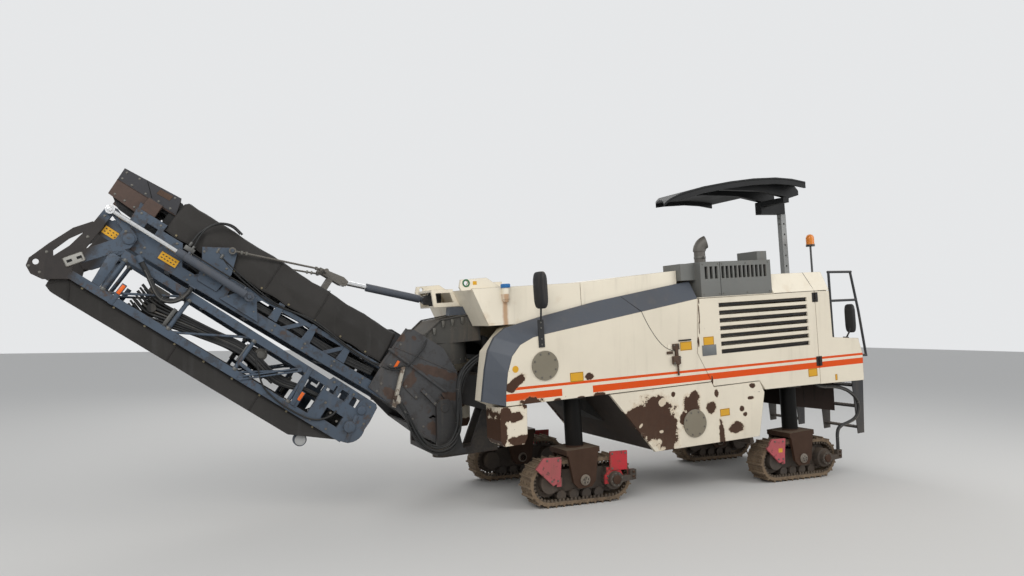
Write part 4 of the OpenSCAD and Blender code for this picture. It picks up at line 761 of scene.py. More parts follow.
# Platform and its way up: black tread plate, welded tube rails and a ladder bolted to the rear wall.
RAIL_GREY = (0.028, 0.03, 0.034)
rail_paint = coating("rail_paint", RAIL_GREY, rough=0.5, mottle=0.3, soil=0.4, wear=0.7, bare=(0.13, 0.1, 0.08),
                     edge=0.006)
dress(["guard_rails", "rear_ladder"], rail_paint)


def lozenges(tree, place, colour):
    """Raised bars of tread plate, worn bright on top."""
    level = in_body_frame(tree, place)
    x, y, _ = axes(tree, level)
    waves = [times(tree, calc(tree, op, x, y), 110.0) for op in ("ADD", "SUBTRACT")]
    ridges = [calc(tree, "SINE", wave) for wave in waves]
    raised = ease(tree, calc(tree, "MAXIMUM", *ridges), 0.86, 0.97)
    return tint(tree, times(tree, raised, 0.55), colour, (0.15, 0.14, 0.125))


tread_plate = coating("tread_plate", (0.035, 0.036, 0.037), rough=0.55, mottle=0.4, soil=0.6, wear=0.5, figure=lozenges)
dress(["platform_floor"], tread_plate)
RUNGS = ((0.39, -2.975, -2.88), (0.68, -3.0, -2.865), (0.97, -3.015, -2.84))
grips = bmesh.new()
for side, _ in SIDES:
    for height, rear, fore in RUNGS:
        for k in range(11):
            y, z = side * (0.285 + 0.049 * k), height + 0.023
            bar(grips, (rear + 0.012, y, z), (fore - 0.012, y, z), 0.0055, 6)
new_piece("rung_grips", grips, rail_paint)
bolts("ladder_bolts", [(-2.871, side * y, z) for side in (1, -1) for y in (0.2475, 0.8275) for z in (1.06, 1.28)],
      (0, 1, 0), 0.012)

# Engine: a cast block behind the tank, seen only through the cover's joints.
engine_iron = coating("engine_iron", 0.05, rough=0.6, mottle=0.5, soil=0.5, wear=0.3)
dress(["engine_block"], engine_iron)

# Operator's place: a folded sheet console with a switch panel, levers and a wheel, and a sprung seat.
# The seat's pads are foam in black vinyl, sewn round their edges, on a pressed shell.
console_black = coating("console_black", (0.03, 0.031, 0.033), rough=0.5, mottle=0.25, soil=0.35, wear=0.4,
                        bare=0.1)
dress(["operator_console"], console_black)
console = bmesh.new()
panel_turn = Matrix.Translation((-0.57, -0.23, 2.462)) @ turned(-17.5)
for row in range(3):
    for k in range(9):
        bar(console, *(panel_turn @ Vector((-0.1 + 0.07 * row, -0.34 + 0.085 * k, z)) for z in (0.004, 0.022)), 0.013,
            14)
for y in (-0.52, -0.46, 0.02, 0.08):
    foot, head = panel_turn @ Vector((0.02, y, 0)), panel_turn @ Vector((0, y, 0.11))
    bar(console, foot, head, 0.006, 10)
    bmesh.ops.create_uvsphere(console, u_segments=14, v_segments=10, radius=0.018, matrix=Matrix.Translation(head))
new_piece("console_controls", console, ink, round_off=0.0015)
vinyl = coating("seat_vinyl", (0.022, 0.022, 0.023), rough=0.42, mottle=0.3, soil=0.4, wear=0.35,
                bare=(0.06, 0.058, 0.055), dent=0.35, gloss=0.5, edge=0.006)
SEAT_Y = -0.66


def seat_pad(name, shape, voxel, most):
    """A pad blown up a little by cloth pressure, no point moving further than most."""
    bmesh.ops.recalc_face_normals(shape, faces=shape.faces)
    mesh = bpy.data.meshes.new(name)
    shape.to_mesh(mesh)
    shape.free()
    pad = stand(name, mesh)
    blocks = pad.modifiers.new("voxels", "REMESH")
    blocks.mode = "VOXEL"
    blocks.voxel_size = voxel
    start = settle(pad)
    rest = [v.co.copy() for v in start.vertices]
    cloth = pad.modifiers.new("cloth", "CLOTH")
    cloth.settings.use_pressure = True
    cloth.settings.uniform_pressure_force = 4
    cloth.settings.effector_weights.gravity = 0
    for shot in range(1, 21):
        scene.frame_set(shot)
    blown = settle(pad)
    for vertex, still in zip(blown.vertices, rest):
        step = vertex.co - still
        if step.length > most:
            vertex.co = still + step.normalized() * most
    scene.frame_set(1)
    finer = pad.modifiers.new("finer", "SUBSURF")
    finer.levels = finer.render_levels = 1
    done = settle(pad)
    done.transform(BODY)
    done.shade_smooth()
    done.materials.clear()
    done.materials.append(vinyl)
    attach(pad, "chassis")
    return pad


cushion = bmesh.new()
block(cushion, (-1.685, -1.245), (SEAT_Y - 0.222, SEAT_Y + 0.222), (2.108, 2.172))
bmesh.ops.bevel(cushion, geom=cushion.edges, offset=0.026, segments=3, affect="EDGES", profile=0.6)
seat_pad("seat_cushion", cushion, 0.009, 0.012)
backrest = bmesh.new()
plate(backrest, ((-1.676, 2.215), (-1.64, 2.215), (-1.712, 2.582), (-1.748, 2.582)), SEAT_Y - 0.212, SEAT_Y + 0.212)
bmesh.ops.bevel(backrest, geom=backrest.edges, offset=0.014, segments=3, affect="EDGES", profile=0.6)
seat_pad("seat_back", backrest, 0.009, 0.012)
x0, x1 = -1.692, -1.238
y0, y1 = SEAT_Y - 0.222, SEAT_Y + 0.222
PIPING = ((x0, y0 + 0.03), (x0, y1 - 0.03), (x0 + 0.03, y1 + 0.006), (x1 - 0.03, y1 + 0.006), (x1, y1 - 0.03),
          (x1, y0 + 0.03), (x1 - 0.03, y0 - 0.006), (x0 + 0.03, y0 - 0.006), (x0, y0 + 0.03))
for k, height in enumerate((2.108, 2.172)):
    swept(f"seat_piping_{k}", [(x, y, height) for x, y in PIPING], 0.0045, rubber, sides=8)
seat_base = bmesh.new()
block(seat_base, (-1.56, -1.34), (SEAT_Y - 0.1, SEAT_Y + 0.1), (1.68, 1.76))
for k in range(7):
    grown = 0.1 - 0.012 * (k % 2)
    block(seat_base, (-1.45 - grown, -1.45 + grown), (SEAT_Y - grown + 0.005, SEAT_Y + grown - 0.005),
          (1.762 + 0.044 * k, 1.8 + 0.044 * k))
block(seat_base, (-1.66, -1.26), (SEAT_Y - 0.19, SEAT_Y + 0.19), (2.074, 2.102))
plate(seat_base, ((-1.69, 2.18), (-1.678, 2.18), (-1.756, 2.59), (-1.77, 2.59)), SEAT_Y - 0.205, SEAT_Y + 0.205)
block(seat_base, (-1.69, -1.655), (SEAT_Y - 0.06, SEAT_Y + 0.06), (2.085, 2.24))
seat_frame = new_piece("seat_frame", seat_base, console_black, round_off=0.006)
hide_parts("operator_seat")

# Canopy: a laminated roof shell, black below, with a lighter rolled rim, on two steel ribs and one drilled post.
CANOPY_RIM = (0.01, 0.0105, 0.0115)


def dark_below(tree, place, colour):
    up = axes(tree, lay(tree, "NewGeometry").outputs["Normal"])[2]
    below = ease(tree, up, -0.15, -0.45)
    return tint(tree, below, colour, 0.0015)


canopy_shell = coating("canopy_shell", CANOPY_RIM, rough=0.5, mottle=0.35, soil=0.06, soil_colour=0.06,
                       gloss=0.2, wear=0.4, bare=0.075, figure=dark_below)
dress(["canopy_roof"], canopy_shell)
galvanised = coating("galvanised", (0.27, 0.275, 0.27), rough=0.5, metal=0.35, mottle=0.6, soil=0.25, wear=0.2,
                     bare=0.32)
dress(["canopy_post"], galvanised)
CANOPY_REAR = -2.07
CANOPY_TOP = 3.835
# distance ahead of the rear edge, height below the top: a rolled rim along the side edges, shorter on the right
RIM_LINE = ((0.0, 0.06), (0.24, 0.026), (0.52, 0.014), (0.9, 0.034), (1.28, 0.078), (1.7, 0.146), (2.05, 0.231),
            (2.24, 0.303), (2.31, 0.35))
for side, tag, reach in ((1, "left", 2.31), (-1, "right", 1.04)):
    rim = [(CANOPY_REAR + x, side * 0.944, CANOPY_TOP - drop - 0.004) for x, drop in RIM_LINE if x <= reach]
    swept("canopy_rim_" + tag, rim, 0.0105, canopy_shell, sides=10)
bolts("canopy_bolts", [(x, y, CANOPY_TOP - 0.297) for x in (-2.26, -2.1, -1.92) for y in (0.26, 0.32)], (0, 0, -1),
      0.014)
bolts("post_bolts", [(-2.2198, 0.2925, z) for z in (1.78, 1.9, 3.3, 3.38)], (1, 0, 0), 0.013)
boxes("post_foot", [((-2.345, -2.185), (0.225, 0.338), (1.6805, 1.694))], galvanised, round_off=0.003)

# Beacon: an amber lens over a black base on a thin pole.
LENS_LOW = 1.65 + 1.33


def lens_over_pole(tree, place, colour):
    z = axes(tree, in_body_frame(tree, place))[2]
    stripes = calc(tree, "SINE", times(tree, z, 420.0))
    lens = tint(tree, ease(tree, stripes, -0.2, 0.9), (0.62, 0.16, 0.006), (0.9, 0.3, 0.012))
    base = tint(tree, calc(tree, "GREATER_THAN", z, LENS_LOW - 0.031), 0.055, 0.015)
    return tint(tree, calc(tree, "GREATER_THAN", z, LENS_LOW), base, lens)


beacon_finish = coating("beacon_finish", (0.6, 0.2, 0.01), rough=0.22, mottle=0.1, soil=0.15, wear=0.05, dent=0.03,
                        gloss=0.6, figure=lens_over_pole)
dress(["beacon"], beacon_finish)

# Mirrors: black moulded shells, open side to the rear with the glass in it, on bent arms from a bolted foot.
HALF_W = 1.02
# middle of the shell, its half width, depth and height, its turn, and where its arm starts and bends
MIRRORS = (
    ((2.05, HALF_W + 0.03, 2.52), (0.092, 0.028, 0.203), -70,
     ((2.05, HALF_W + 0.008, 2.18), (2.05, HALF_W + 0.028, 2.33))),
    ((-2.62, HALF_W + 0.015, 1.93), (0.073, 0.02, 0.193), -80,
     ((-2.56, HALF_W - 0.02, 1.662), (-2.6, HALF_W + 0.018, 1.765))),
)
mirror_black = coating("mirror_black", (0.016, 0.016, 0.017), rough=0.5, mottle=0.25, soil=0.35, wear=0.35,
                       bare=0.06)
mirror_glass = coating("mirror_glass", (0.55, 0.57, 0.58), rough=0.06, metal=1.0, mottle=0.05, soil=0.1, wear=0.0,
                       dent=0.01, edge=0.001)
for side, tag in SIDES:
    shell, glass = bmesh.new(), bmesh.new()
    for middle, half, turn, arm in MIRRORS:
        middle = Vector((middle[0], side * middle[1], middle[2]))
        where = Matrix.Translation(middle) @ turned(side * turn, "Z")
        rim = []
        for k in range(32):
            a = 2 * pi * k / 32
            c, s = cos(a), sin(a)
            rim.append((half[0] * copysign(abs(c) ** 0.5, c), half[2] * copysign(abs(s) ** 0.42, s)))
        back = side * half[1]
        rings = []
        for depth, share in ((-back, 0.95), (-back * 0.6, 1.0), (back * 0.2, 0.985), (back * 0.75, 0.86), (back, 0.62)):
            rings.append([shell.verts.new(where @ Vector((x * share, depth, z * share))) for x, z in rim])
        for low, high in zip(rings, rings[1:]):
            for k in range(32):
                j = (k + 1) % 32
                shell.faces.new((low[k], low[j], high[j], high[k]))
        shell.faces.new(rings[0])
        shell.faces.new(rings[-1])
        walled(glass, *([where @ Vector((x * 0.87, depth, z * 0.9)) for x, z in rim]
                        for depth in (-back * 1.03, -back * 0.98)))
        start, end = ((x, side * y, z) for x, y, z in arm)
        bar(shell, start, end, 0.011, 14)
        bar(shell, end, middle + Vector((0, 0, -half[2] * 0.55)), 0.011, 14)
    ends = outward(side, HALF_W, HALF_W + 0.012)
    block(shell, (2.02, 2.09), ends, (1.9, 2.2))
    ledge = outward(side, HALF_W - 0.035, HALF_W - 0.005)
    plate(shell, ((-2.6, 1.6672), (-2.52, 1.6752), (-2.52, 1.69), (-2.6, 1.682)), *ledge)
    fitted = new_piece("mirror_shells_" + tag, shell, mirror_black, smooth=50)
    new_piece("mirror_glass_" + tag, glass, mirror_glass)
    if side > 0:
        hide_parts("mirrors")
    bolts("mirror_bolts_" + tag, [(2.055, side * (HALF_W + 0.012), z) for z in (1.93, 1.99, 2.11, 2.17)], (0, side, 0),
          0.01)

# Legs: a black lifting column in its sleeve carries a brown forked plate, and the track frame swings on the fork's pin.
# Red guards are bolted outboard over the idler, and over the drive of the front tracks.
HALF_BASE = 1.63
HALF_GAUGE = 0.8
AXLE_Z = 0.265
LEGS = (("fl", 1, 1), ("fr", 1, -1), ("rl", -1, 1), ("rr", -1, -1))


def dusty_fork(tree, place, colour):
    """Black column, brown fork below it, pale dust on the plate between them."""
    z = axes(tree, place)[2]
    fork = ease(tree, z, 0.66, 0.64)
    brown = tint(tree, speckle(tree, place, 8, 5), (0.038, 0.019, 0.012), (0.068, 0.038, 0.025))
    up = axes(tree, lay(tree, "NewGeometry").outputs["Normal"])[2]
    brown = tint(tree, times(tree, ease(tree, up, 0.5, 0.9), 0.7), brown, (0.17, 0.13, 0.095))
    return tint(tree, fork, colour, brown)


leg_black = coating("leg_black", 0.004, rough=0.5, mottle=0.3, soil=0.04, gloss=0.12,
                    soil_colour=(0.15, 0.115, 0.08), wear=0.45, bare=(0.1, 0.07, 0.05), figure=dusty_fork)
dress([f"leg_{tag}_column" for tag, _, _ in LEGS], leg_black)


MOTOR_X = -0.4


def red_guards(tree, place, colour):
    """The outboard plates at the track's ends are red, the nose ones bleached to pink and chipped to black."""
    x, y, z = axes(tree, place)
    out = calc(tree, "SUBTRACT", calc(tree, "ABSOLUTE", y), HALF_GAUGE)
    front = calc(tree, "GREATER_THAN", x, -MIDDLE)
    ahead = calc(tree, "SUBTRACT", x, calc(tree, "MULTIPLY_ADD", front, 2 * HALF_BASE, -HALF_BASE - MIDDLE))
    nose = calc(tree, "GREATER_THAN", ahead, 0.272)
    tail = times(tree, calc(tree, "LESS_THAN", ahead, -0.27), calc(tree, "GREATER_THAN", z, 0.212))
    from_motor = lay(tree, "CombineXYZ", {0: calc(tree, "SUBTRACT", ahead, MOTOR_X),
                                          2: calc(tree, "SUBTRACT", z, AXLE_Z)})
    from_motor = lay(tree, "VectorMath", {0: from_motor.outputs[0]}, operation="LENGTH").outputs["Value"]
    tail = times(tree, times(tree, tail, front), calc(tree, "GREATER_THAN", from_motor, 0.0865))
    plates = times(tree, calc(tree, "ADD", nose, tail, clamp=True), band_mask(tree, out, 0.1494, 0.1756))
    # on the tail only the guard's own plane is red, the motor and its block stand further out
    faded = tint(tree, nose, (0.52, 0.012, 0.026), (0.5, 0.085, 0.105))
    grime = calc(tree, "ADD", speckle(tree, place, 16, 6, rough=0.7), times(tree, ease(tree, z, 0.33, 0.0), 0.25))
    grime = ease(tree, grime, 0.58, 0.63)
    faded = tint(tree, times(tree, grime, 0.8), faded, (0.045, 0.033, 0.028))
    return tint(tree, plates, colour, faded)


frame_iron = coating("track_frame_iron", (0.048, 0.04, 0.034), rough=0.7, mottle=0.5, soil=0.45,
                     soil_colour=(0.12, 0.088, 0.062), wear=0.5, bare=(0.09, 0.055, 0.035), figure=red_guards)
dress([f"leg_{tag}_frame" for tag, _, _ in LEGS], frame_iron)


def caked(tree, place, colour):
    """Ochre soil dried on in scales, and dark blotches."""
    scales = ease(tree, speckle(tree, place, 26, 6, rough=0.7), 0.42, 0.62)
    colour = tint(tree, times(tree, scales, 0.75), colour, (0.185, 0.125, 0.075))
    dark = ease(tree, speckle(tree, place, 7, 4), 0.55, 0.68)
    return tint(tree, times(tree, dark, 0.6), colour, (0.028, 0.022, 0.019))


shoe_steel = coating("shoe_steel", (0.11, 0.074, 0.048), rough=0.85, mottle=0.5, soil=0.7,
                     soil_colour=(0.23, 0.17, 0.112), wear=0.75, bare=(0.16, 0.13, 0.105), dent=0.6, gloss=0.25,
                     figure=caked, edge=0.006)
dress([f"leg_{tag}_track" for tag, _, _ in LEGS], shoe_steel)

# one piece put at many places, each with a turn of its own
repeat_tree, given, out = geometry_tree("repeated", (("Item", "Object", None), ("Finish", "Material", None)))
item = geo(repeat_tree, "ObjectInfo", {"Object": given["Item"]})
turns = geo(repeat_tree, "InputNamedAttribute", {"Name": "turn"}, data_type="FLOAT_VECTOR")
aimed = put(repeat_tree, "FunctionNodeEulerToRotation", {0: turns.outputs[0]})
spread = geo(repeat_tree, "InstanceOnPoints", {
    "Points": given["Geometry"], "Instance": item.outputs["Geometry"], "Rotation": aimed.outputs[0]})
realised(repeat_tree, given, out, spread)


def repeated(name, shape, spots, material, body, where=BODY):
    """Copies of a shape, realised, at these places; each place has a turn about the y axis in radians."""
    bmesh.ops.recalc_face_normals(shape, faces=shape.faces)
    item = stand(name + "_item", mesh_of(name + "_item", shape))
    places = points_mesh([spot for spot, _ in spots])
    turns = places.attributes.new("turn", "FLOAT_VECTOR", "POINT")
    for k, (_, turn) in enumerate(spots):
        turns.data[k].vector = (where.to_3x3() @ Matrix.Rotation(turn, 3, "Y")).to_euler()
    made = made_by(repeat_tree, name, places, {"Item": item, "Finish": material}, body, where)
    bpy.data.objects.remove(item)
    return made


SHOES = 30
SHOE_R = 0.243              # from the axle to a shoe's outer face
PITCH_R = 0.217
LINK_R = 0.205              # from the axle to the chain's inner face
AXLES = 0.8
TOOTH = ((0.004, -0.019), (-0.032, -0.006), (-0.032, 0.006), (0.004, 0.019))
PATH = 2 * AXLES + 2 * pi * PITCH_R


def on_track(s, radius):
    """Place beside the chain, s metres along it from below the rear axle, and its outward turn."""
    arc = pi * PITCH_R
    if s < AXLES:
        return (-AXLES / 2 + s, AXLE_Z - radius), -pi / 2
    if s < AXLES + arc:
        a = -pi / 2 + (s - AXLES) / PITCH_R
        return (AXLES / 2 + radius * cos(a), AXLE_Z + radius * sin(a)), a
    if s < 2 * AXLES + arc:
        return (AXLES / 2 - (s - AXLES - arc), AXLE_Z + radius), pi / 2
    a = pi / 2 + (s - 2 * AXLES - arc) / PITCH_R
    return (-AXLES / 2 + radius * cos(a), AXLE_Z + radius * sin(a)), a


def along_track(share, radius):
    """A place on every shoe, this share of the pitch along it, with the turn it has there."""
    found = [on_track((k + share) * PATH / SHOES, radius) for k in range(SHOES)]
    return [((x, 0, z), -a) for (x, z), a in found]


# the fork's hub: a light disc with five holes around the pin's end
HUB_Z = 0.29
MOTOR_FACE = 0.2253         # from the track's middle out to the drive motor's face
GUARD_FACE = 0.1753         # and to the guards' face
NOSE_BOLTS = ((0.325, 0.3), (0.325, 0.52), (0.46, 0.525), (0.4, 0.3))
TAIL_BOLTS = ((-0.37, 0.38), (-0.37, 0.545), (-0.545, 0.545), (-0.31, 0.3))
hub_grey = coating("hub_grey", (0.215, 0.19, 0.16), rough=0.7, mottle=0.5, soil=0.5, wear=0.5, bare=(0.2, 0.16, 0.12))
link_steel = coating("link_steel", (0.06, 0.047, 0.038), rough=0.6, metal=0.4, mottle=0.5, soil=0.6, wear=0.6,
                     bare=(0.2, 0.17, 0.14), edge=0.003)
for tag, fore, side in LEGS:
    body = "leg_" + tag
    leg = Matrix.Translation((fore * HALF_BASE - MIDDLE, side * HALF_GAUGE, 0))
    # two rows of link teeth inside the shoes, two to a pitch, with the pin's end between them
    tooth = bmesh.new()
    for row in (0.111, -0.111):
        for ahead in (-0.026, 0.02):
            plate(tooth, [(x, ahead + z) for x, z in TOOTH], row - 0.01, row + 0.01)
    repeated(body + "_links", tooth, along_track(0.6, LINK_R), link_steel, body, leg)
    # four bolt heads on every shoe
    shoe = bmesh.new()
    for y in (-0.095, -0.045, 0.045, 0.095):
        bar(shoe, (0.0, y, 0), (0.0095, y, 0), 0.0105, 6)
    repeated(body + "_shoe_bolts", shoe, along_track(0.65, SHOE_R), shoe_steel, body, leg)
    for face in (1, -1):
        where = "out" if face == side else "in"
        hub = bmesh.new()
        bar(hub, (0, face * 0.2003, 0), (0, face * 0.214, 0), 0.06, 40)
        bar(hub, (0, face * 0.214, 0), (0, face * 0.225, 0), 0.046, 32)
        place = leg @ Matrix.Translation((0, 0, HUB_Z)) @ Matrix.Rotation(NOSE_DOWN, 4, "Y")
        new_piece(f"{body}_hub_{where}", hub, hub_grey, body, place, round_off=0.003)
        holes = bmesh.new()
        for x, y, z in around(0, face * 0.2249, 0, 0.029, 5, 90):
            bar(holes, (x, y, z), (x, face * 0.2262, z), 0.0085, 16)
        new_piece(f"{body}_hub_holes_{where}", holes, joint_black, body, place)
    # outboard: bolts of the guards, the drive motor's cap and its fittings
    for what, heads in (("guard", NOSE_BOLTS), ("tail", TAIL_BOLTS))[:2 if fore > 0 else 1]:
        bolts(f"{body}_{what}_bolts", [(x, side * GUARD_FACE, z) for x, z in heads], (0, side, 0), 0.013, body, leg)
    motor = bmesh.new()
    bar(motor, (MOTOR_X, side * MOTOR_FACE, AXLE_Z), (MOTOR_X, side * 0.238, AXLE_Z), 0.052, 28)
    for x, z in ((-0.62, 0.335), (-0.62, 0.285)):
        bar(motor, (x, side * MOTOR_FACE, z), (x, side * 0.243, z), 0.015, 6)
    new_piece(body + "_motor_cap", motor, leg_black, body, leg, round_off=0.002)
    bolts(body + "_motor_bolts", around(MOTOR_X, side * MOTOR_FACE, AXLE_Z, 0.068, 8, 30), (0, side, 0), 0.01, body,
          leg)
boxes("plate_rear_guard", [((0.335, 0.4), (0.1755, 0.1765), (0.385, 0.435))], yellow, "leg_rl",
      Matrix.Translation((-HALF_BASE - MIDDLE, HALF_GAUGE, 0)))

# Milling drum: a welded tube with two scrolls of tool holders that throw the millings to the middle.
drum_steel = coating("drum_steel", (0.085, 0.062, 0.048), rough=0.75, mottle=0.6, soil=0.6,
                     soil_colour=(0.13, 0.085, 0.055), wear=0.8, bare=(0.24, 0.21, 0.18), dent=0.5)
dress(["milling_drum"], drum_steel)
DRUM = Matrix.Translation((-0.13, -0.46, 1.03))
DRUM_TUBE = 0.375
for hand in (1, -1):
    scroll = [(DRUM_TUBE * cos(a), hand * (0.47 - 0.44 * t), DRUM_TUBE * sin(a) * hand)
              for t in [k / 120 for k in range(121)] for a in [radians(540 * t + (0 if hand > 0 else 180))]]
    swept(f"drum_scroll_{(hand + 1) // 2}", scroll, 0.016, drum_steel, "drum", BODY @ DRUM, sides=6)

# Drum housing and ballast: plate browned by heat and soil, the ballast cast in slabs with upright seams.
housing_brown = coating("housing_brown", (0.04, 0.032, 0.027), rough=0.75, mottle=0.5, soil=0.45,
                        soil_colour=(0.11, 0.075, 0.05), wear=0.6, bare=(0.13, 0.075, 0.045))
ballast_brown = coating("ballast_brown", (0.018, 0.01, 0.007), rough=0.75, mottle=0.5, soil=0.1, gloss=0.2,
                        soil_colour=(0.095, 0.06, 0.04), wear=0.7, bare=(0.11, 0.06, 0.038))
dress(["drum_housing"], housing_brown)
dress(["rear_ballast"], ballast_brown)
for side in (1, -1):
    for k, x in enumerate((-2.5, -2.31, -2.12)):
        seam = ((x, side * 0.6205, 0.8 - 0.2 * (x + 2.1)), (x, side * 0.6205, 1.295))
        swept(f"ballast_seam_{k}_{(side + 1) // 2}", seam, 0.004, joint_black, step=0.1, sides=6)
# a rubber flap closes the gap under the service door
flap = bmesh.new()
for side, _ in SIDES:
    plate(flap, ((-1.2, 1.262), (-0.995, 1.262), (-1.02, 1.18), (-1.17, 1.176)), *outward(side, 0.983, 0.995))
new_piece("side_flaps", flap, rubber, round_off=0.003)

# Discharge hood: black plate over the drum belt's end, with a flange and clips along its top,
# and scabs of dried millings on it.
def scabbed(tree, place, colour):
    spots = ease(tree, speckle(tree, place, 55, 3, rough=0.6), 0.6, 0.66)
    where = ease(tree, speckle(tree, place, 2.6, 3), 0.44, 0.62)
    return tint(tree, times(tree, times(tree, spots, where), 0.8), colour, (0.19, 0.175, 0.155))


hood_black = coating("hood_black", (0.085, 0.082, 0.075), rough=0.7, mottle=0.5, soil=0.55, wear=0.5, gloss=0.25,
                     bare=(0.095, 0.08, 0.07), figure=scabbed)
dress(["discharge_hood"], hood_black)
conveyor_steel = coating("conveyor_steel", (0.022, 0.023, 0.025), rough=0.55, mottle=0.45, soil=0.55,
                         soil_colour=(0.115, 0.1, 0.082), wear=0.55, bare=(0.085, 0.052, 0.036))
dress(["slew_bracket"], conveyor_steel)
trim = bmesh.new()
HOOD_TOP = [Vector((x, 0, z)) for x, z in (
    (2.585, 2.165), (2.645, 2.292), (2.958, 2.252), (3.128, 2.112), (3.146, 2.014))]
for y in (0.331, -0.331):
    for a, b in zip(HOOD_TOP, HOOD_TOP[1:]):
        up = (b - a).cross(Vector((0, 1, 0))).normalized() * -0.014
        y0, y1 = sorted((y - copysign(0.01, y), y + copysign(0.016, y)))
        plate(trim, ((a.x - up.x, a.z - up.z), (b.x - up.x, b.z - up.z), (b.x, b.z), (a.x, a.z)), y0, y1)
new_piece("hood_flange", trim, hood_black, round_off=0.002)
clips = bmesh.new()
for y in (0.334, -0.334):
    for x, z in ((2.7, 2.272), (2.82, 2.256), (2.93, 2.243), (3.04, 2.17)):
        block(clips, about(x, 0.016), sorted((y - 0.002, y + copysign(0.026, y))), (z - 0.05, z + 0.006))
        bar(clips, (x, y, z - 0.06), (x, y + copysign(0.02, y), z - 0.06), 0.012, 12)
new_piece("hood_clips", clips, bolt_steel, round_off=0.002)
block_slate = bmesh.new()
plate(block_slate, ((2.575, 2.3), (2.6, 2.395), (2.83, 2.395), (2.845, 2.3)), 0.215, 0.325)
new_piece("hood_lamp_box", block_slate, slate_paint, round_off=0.006)
RING_R = 0.3305             # from the hood's turning ring's middle to its bolts
for side, tag in SIDES:
    heads = [(2.89 + RING_R * cos(a), side * RING_R * sin(a), 1.8)
             for a in [radians(20 + 20 * k) for k in range(8)]]
    bolts("hood_ring_bolts_" + tag, heads, (0, side, 0), 0.011)

# Rear length of the discharge conveyor: channel rails and a curved bracket at the fold hinge, sprayed blue-grey once
# and now brown with road dust. Lengths are drawn in the tilted frame of the section: along it, across it, out of it.
def in_frame(tree, place, where):
    """Object coordinates turned into the frame of where."""
    moved, turned, _ = where.inverted().decompose()
    return lay(tree, "Mapping", {"Vector": place, "Location": moved, "Rotation": turned.to_euler()}).outputs[0]


def road_grime(tree, place, colour):
    clots = ease(tree, speckle(tree, place, 11, 6, rough=0.7), 0.5, 0.62)
    colour = tint(tree, times(tree, clots, 0.55), colour, (0.03, 0.026, 0.024))
    rusted = ease(tree, speckle(tree, place, 5.5, 6, rough=0.75), 0.58, 0.66)
    colour = tint(tree, times(tree, rusted, 0.7), colour, (0.07, 0.042, 0.03))
    # the curved arms at the fold hinge are browner than the rest
    u, _, v = axes(tree, in_frame(tree, place, FRONT))
    arm = times(tree, ease(tree, u, 0.12, 0.22), ease(tree, v, 0.06, 0.0))
    return tint(tree, arm, colour, tint(tree, speckle(tree, place, 15, 5), (0.01, 0.0085, 0.0085), (0.03, 0.023, 0.02)))


frame_paint = coating("conveyor_frame_paint", (0.06, 0.084, 0.118), rough=0.55, mottle=0.5, soil=0.22,
                      soil_colour=(0.125, 0.108, 0.088), wear=0.6, bare=(0.085, 0.052, 0.036), figure=road_grime)
dress(["conveyor_rear_frame", "conveyor_front_frame"], frame_paint)

# Boot: the rear length's foot, plate that was torch-cut and bent, rust showing where the paint has gone.
# along, out, half length, half height, turn of each rusty place
BOOT_RUST = ((-2.7, 0.585, 0.075, 0.05, 0), (-2.853, 0.657, 0.03, 0.025, 0), (-3.27, 0.475, 0.27, 0.055, 15),
             (-3.55, 0.33, 0.12, 0.05, 30), (-3.62, -0.05, 0.15, 0.07, 0), (-2.95, 0.02, 0.1, 0.05, 0),
             (-3.05, 0.25, 0.06, 0.09, 0))


def rusted_boot(tree, place, colour):
    level = in_frame(tree, place, REAR)
    u, y, v = axes(tree, level)
    ragged = calc(tree, "MULTIPLY_ADD", speckle(tree, place, 15, 5, rough=0.7), 1.8, -0.9)
    off = ease(tree, blotches(tree, level, BOOT_RUST, ragged), 1.1, 0.9)
    colour = road_grime(tree, place, colour)
    colour = tint(tree, off, colour, tint(tree, speckle(tree, place, 18, 5), (0.034, 0.023, 0.019),
                                          (0.088, 0.052, 0.036)))
    # the strut outside the plate was painted pale
    out = calc(tree, "ABSOLUTE", y)
    lean = calc(tree, "MULTIPLY_ADD", v, -0.3333, 2.906 + 0.337 * 0.3333)
    aside = calc(tree, "ABSOLUTE", calc(tree, "ADD", u, lean))
    strut = times(tree, calc(tree, "LESS_THAN", aside, 0.024), calc(tree, "GREATER_THAN", out, 0.4412))
    strut = times(tree, strut, calc(tree, "LESS_THAN", v, 0.346))
    worn = ease(tree, speckle(tree, place, 14, 5, rough=0.7), 0.48, 0.58)
    return tint(tree, strut, colour, tint(tree, worn, (0.4, 0.37, 0.31), (0.16, 0.12, 0.09)))


boot_paint = coating("boot_paint", (0.06, 0.061, 0.064), rough=0.65, mottle=0.5, soil=0.35,
                     soil_colour=(0.12, 0.095, 0.072), wear=0.6, bare=(0.12, 0.075, 0.05), figure=rusted_boot)
dress(["conveyor_boot"], boot_paint)
BOOT_FACE = 0.44
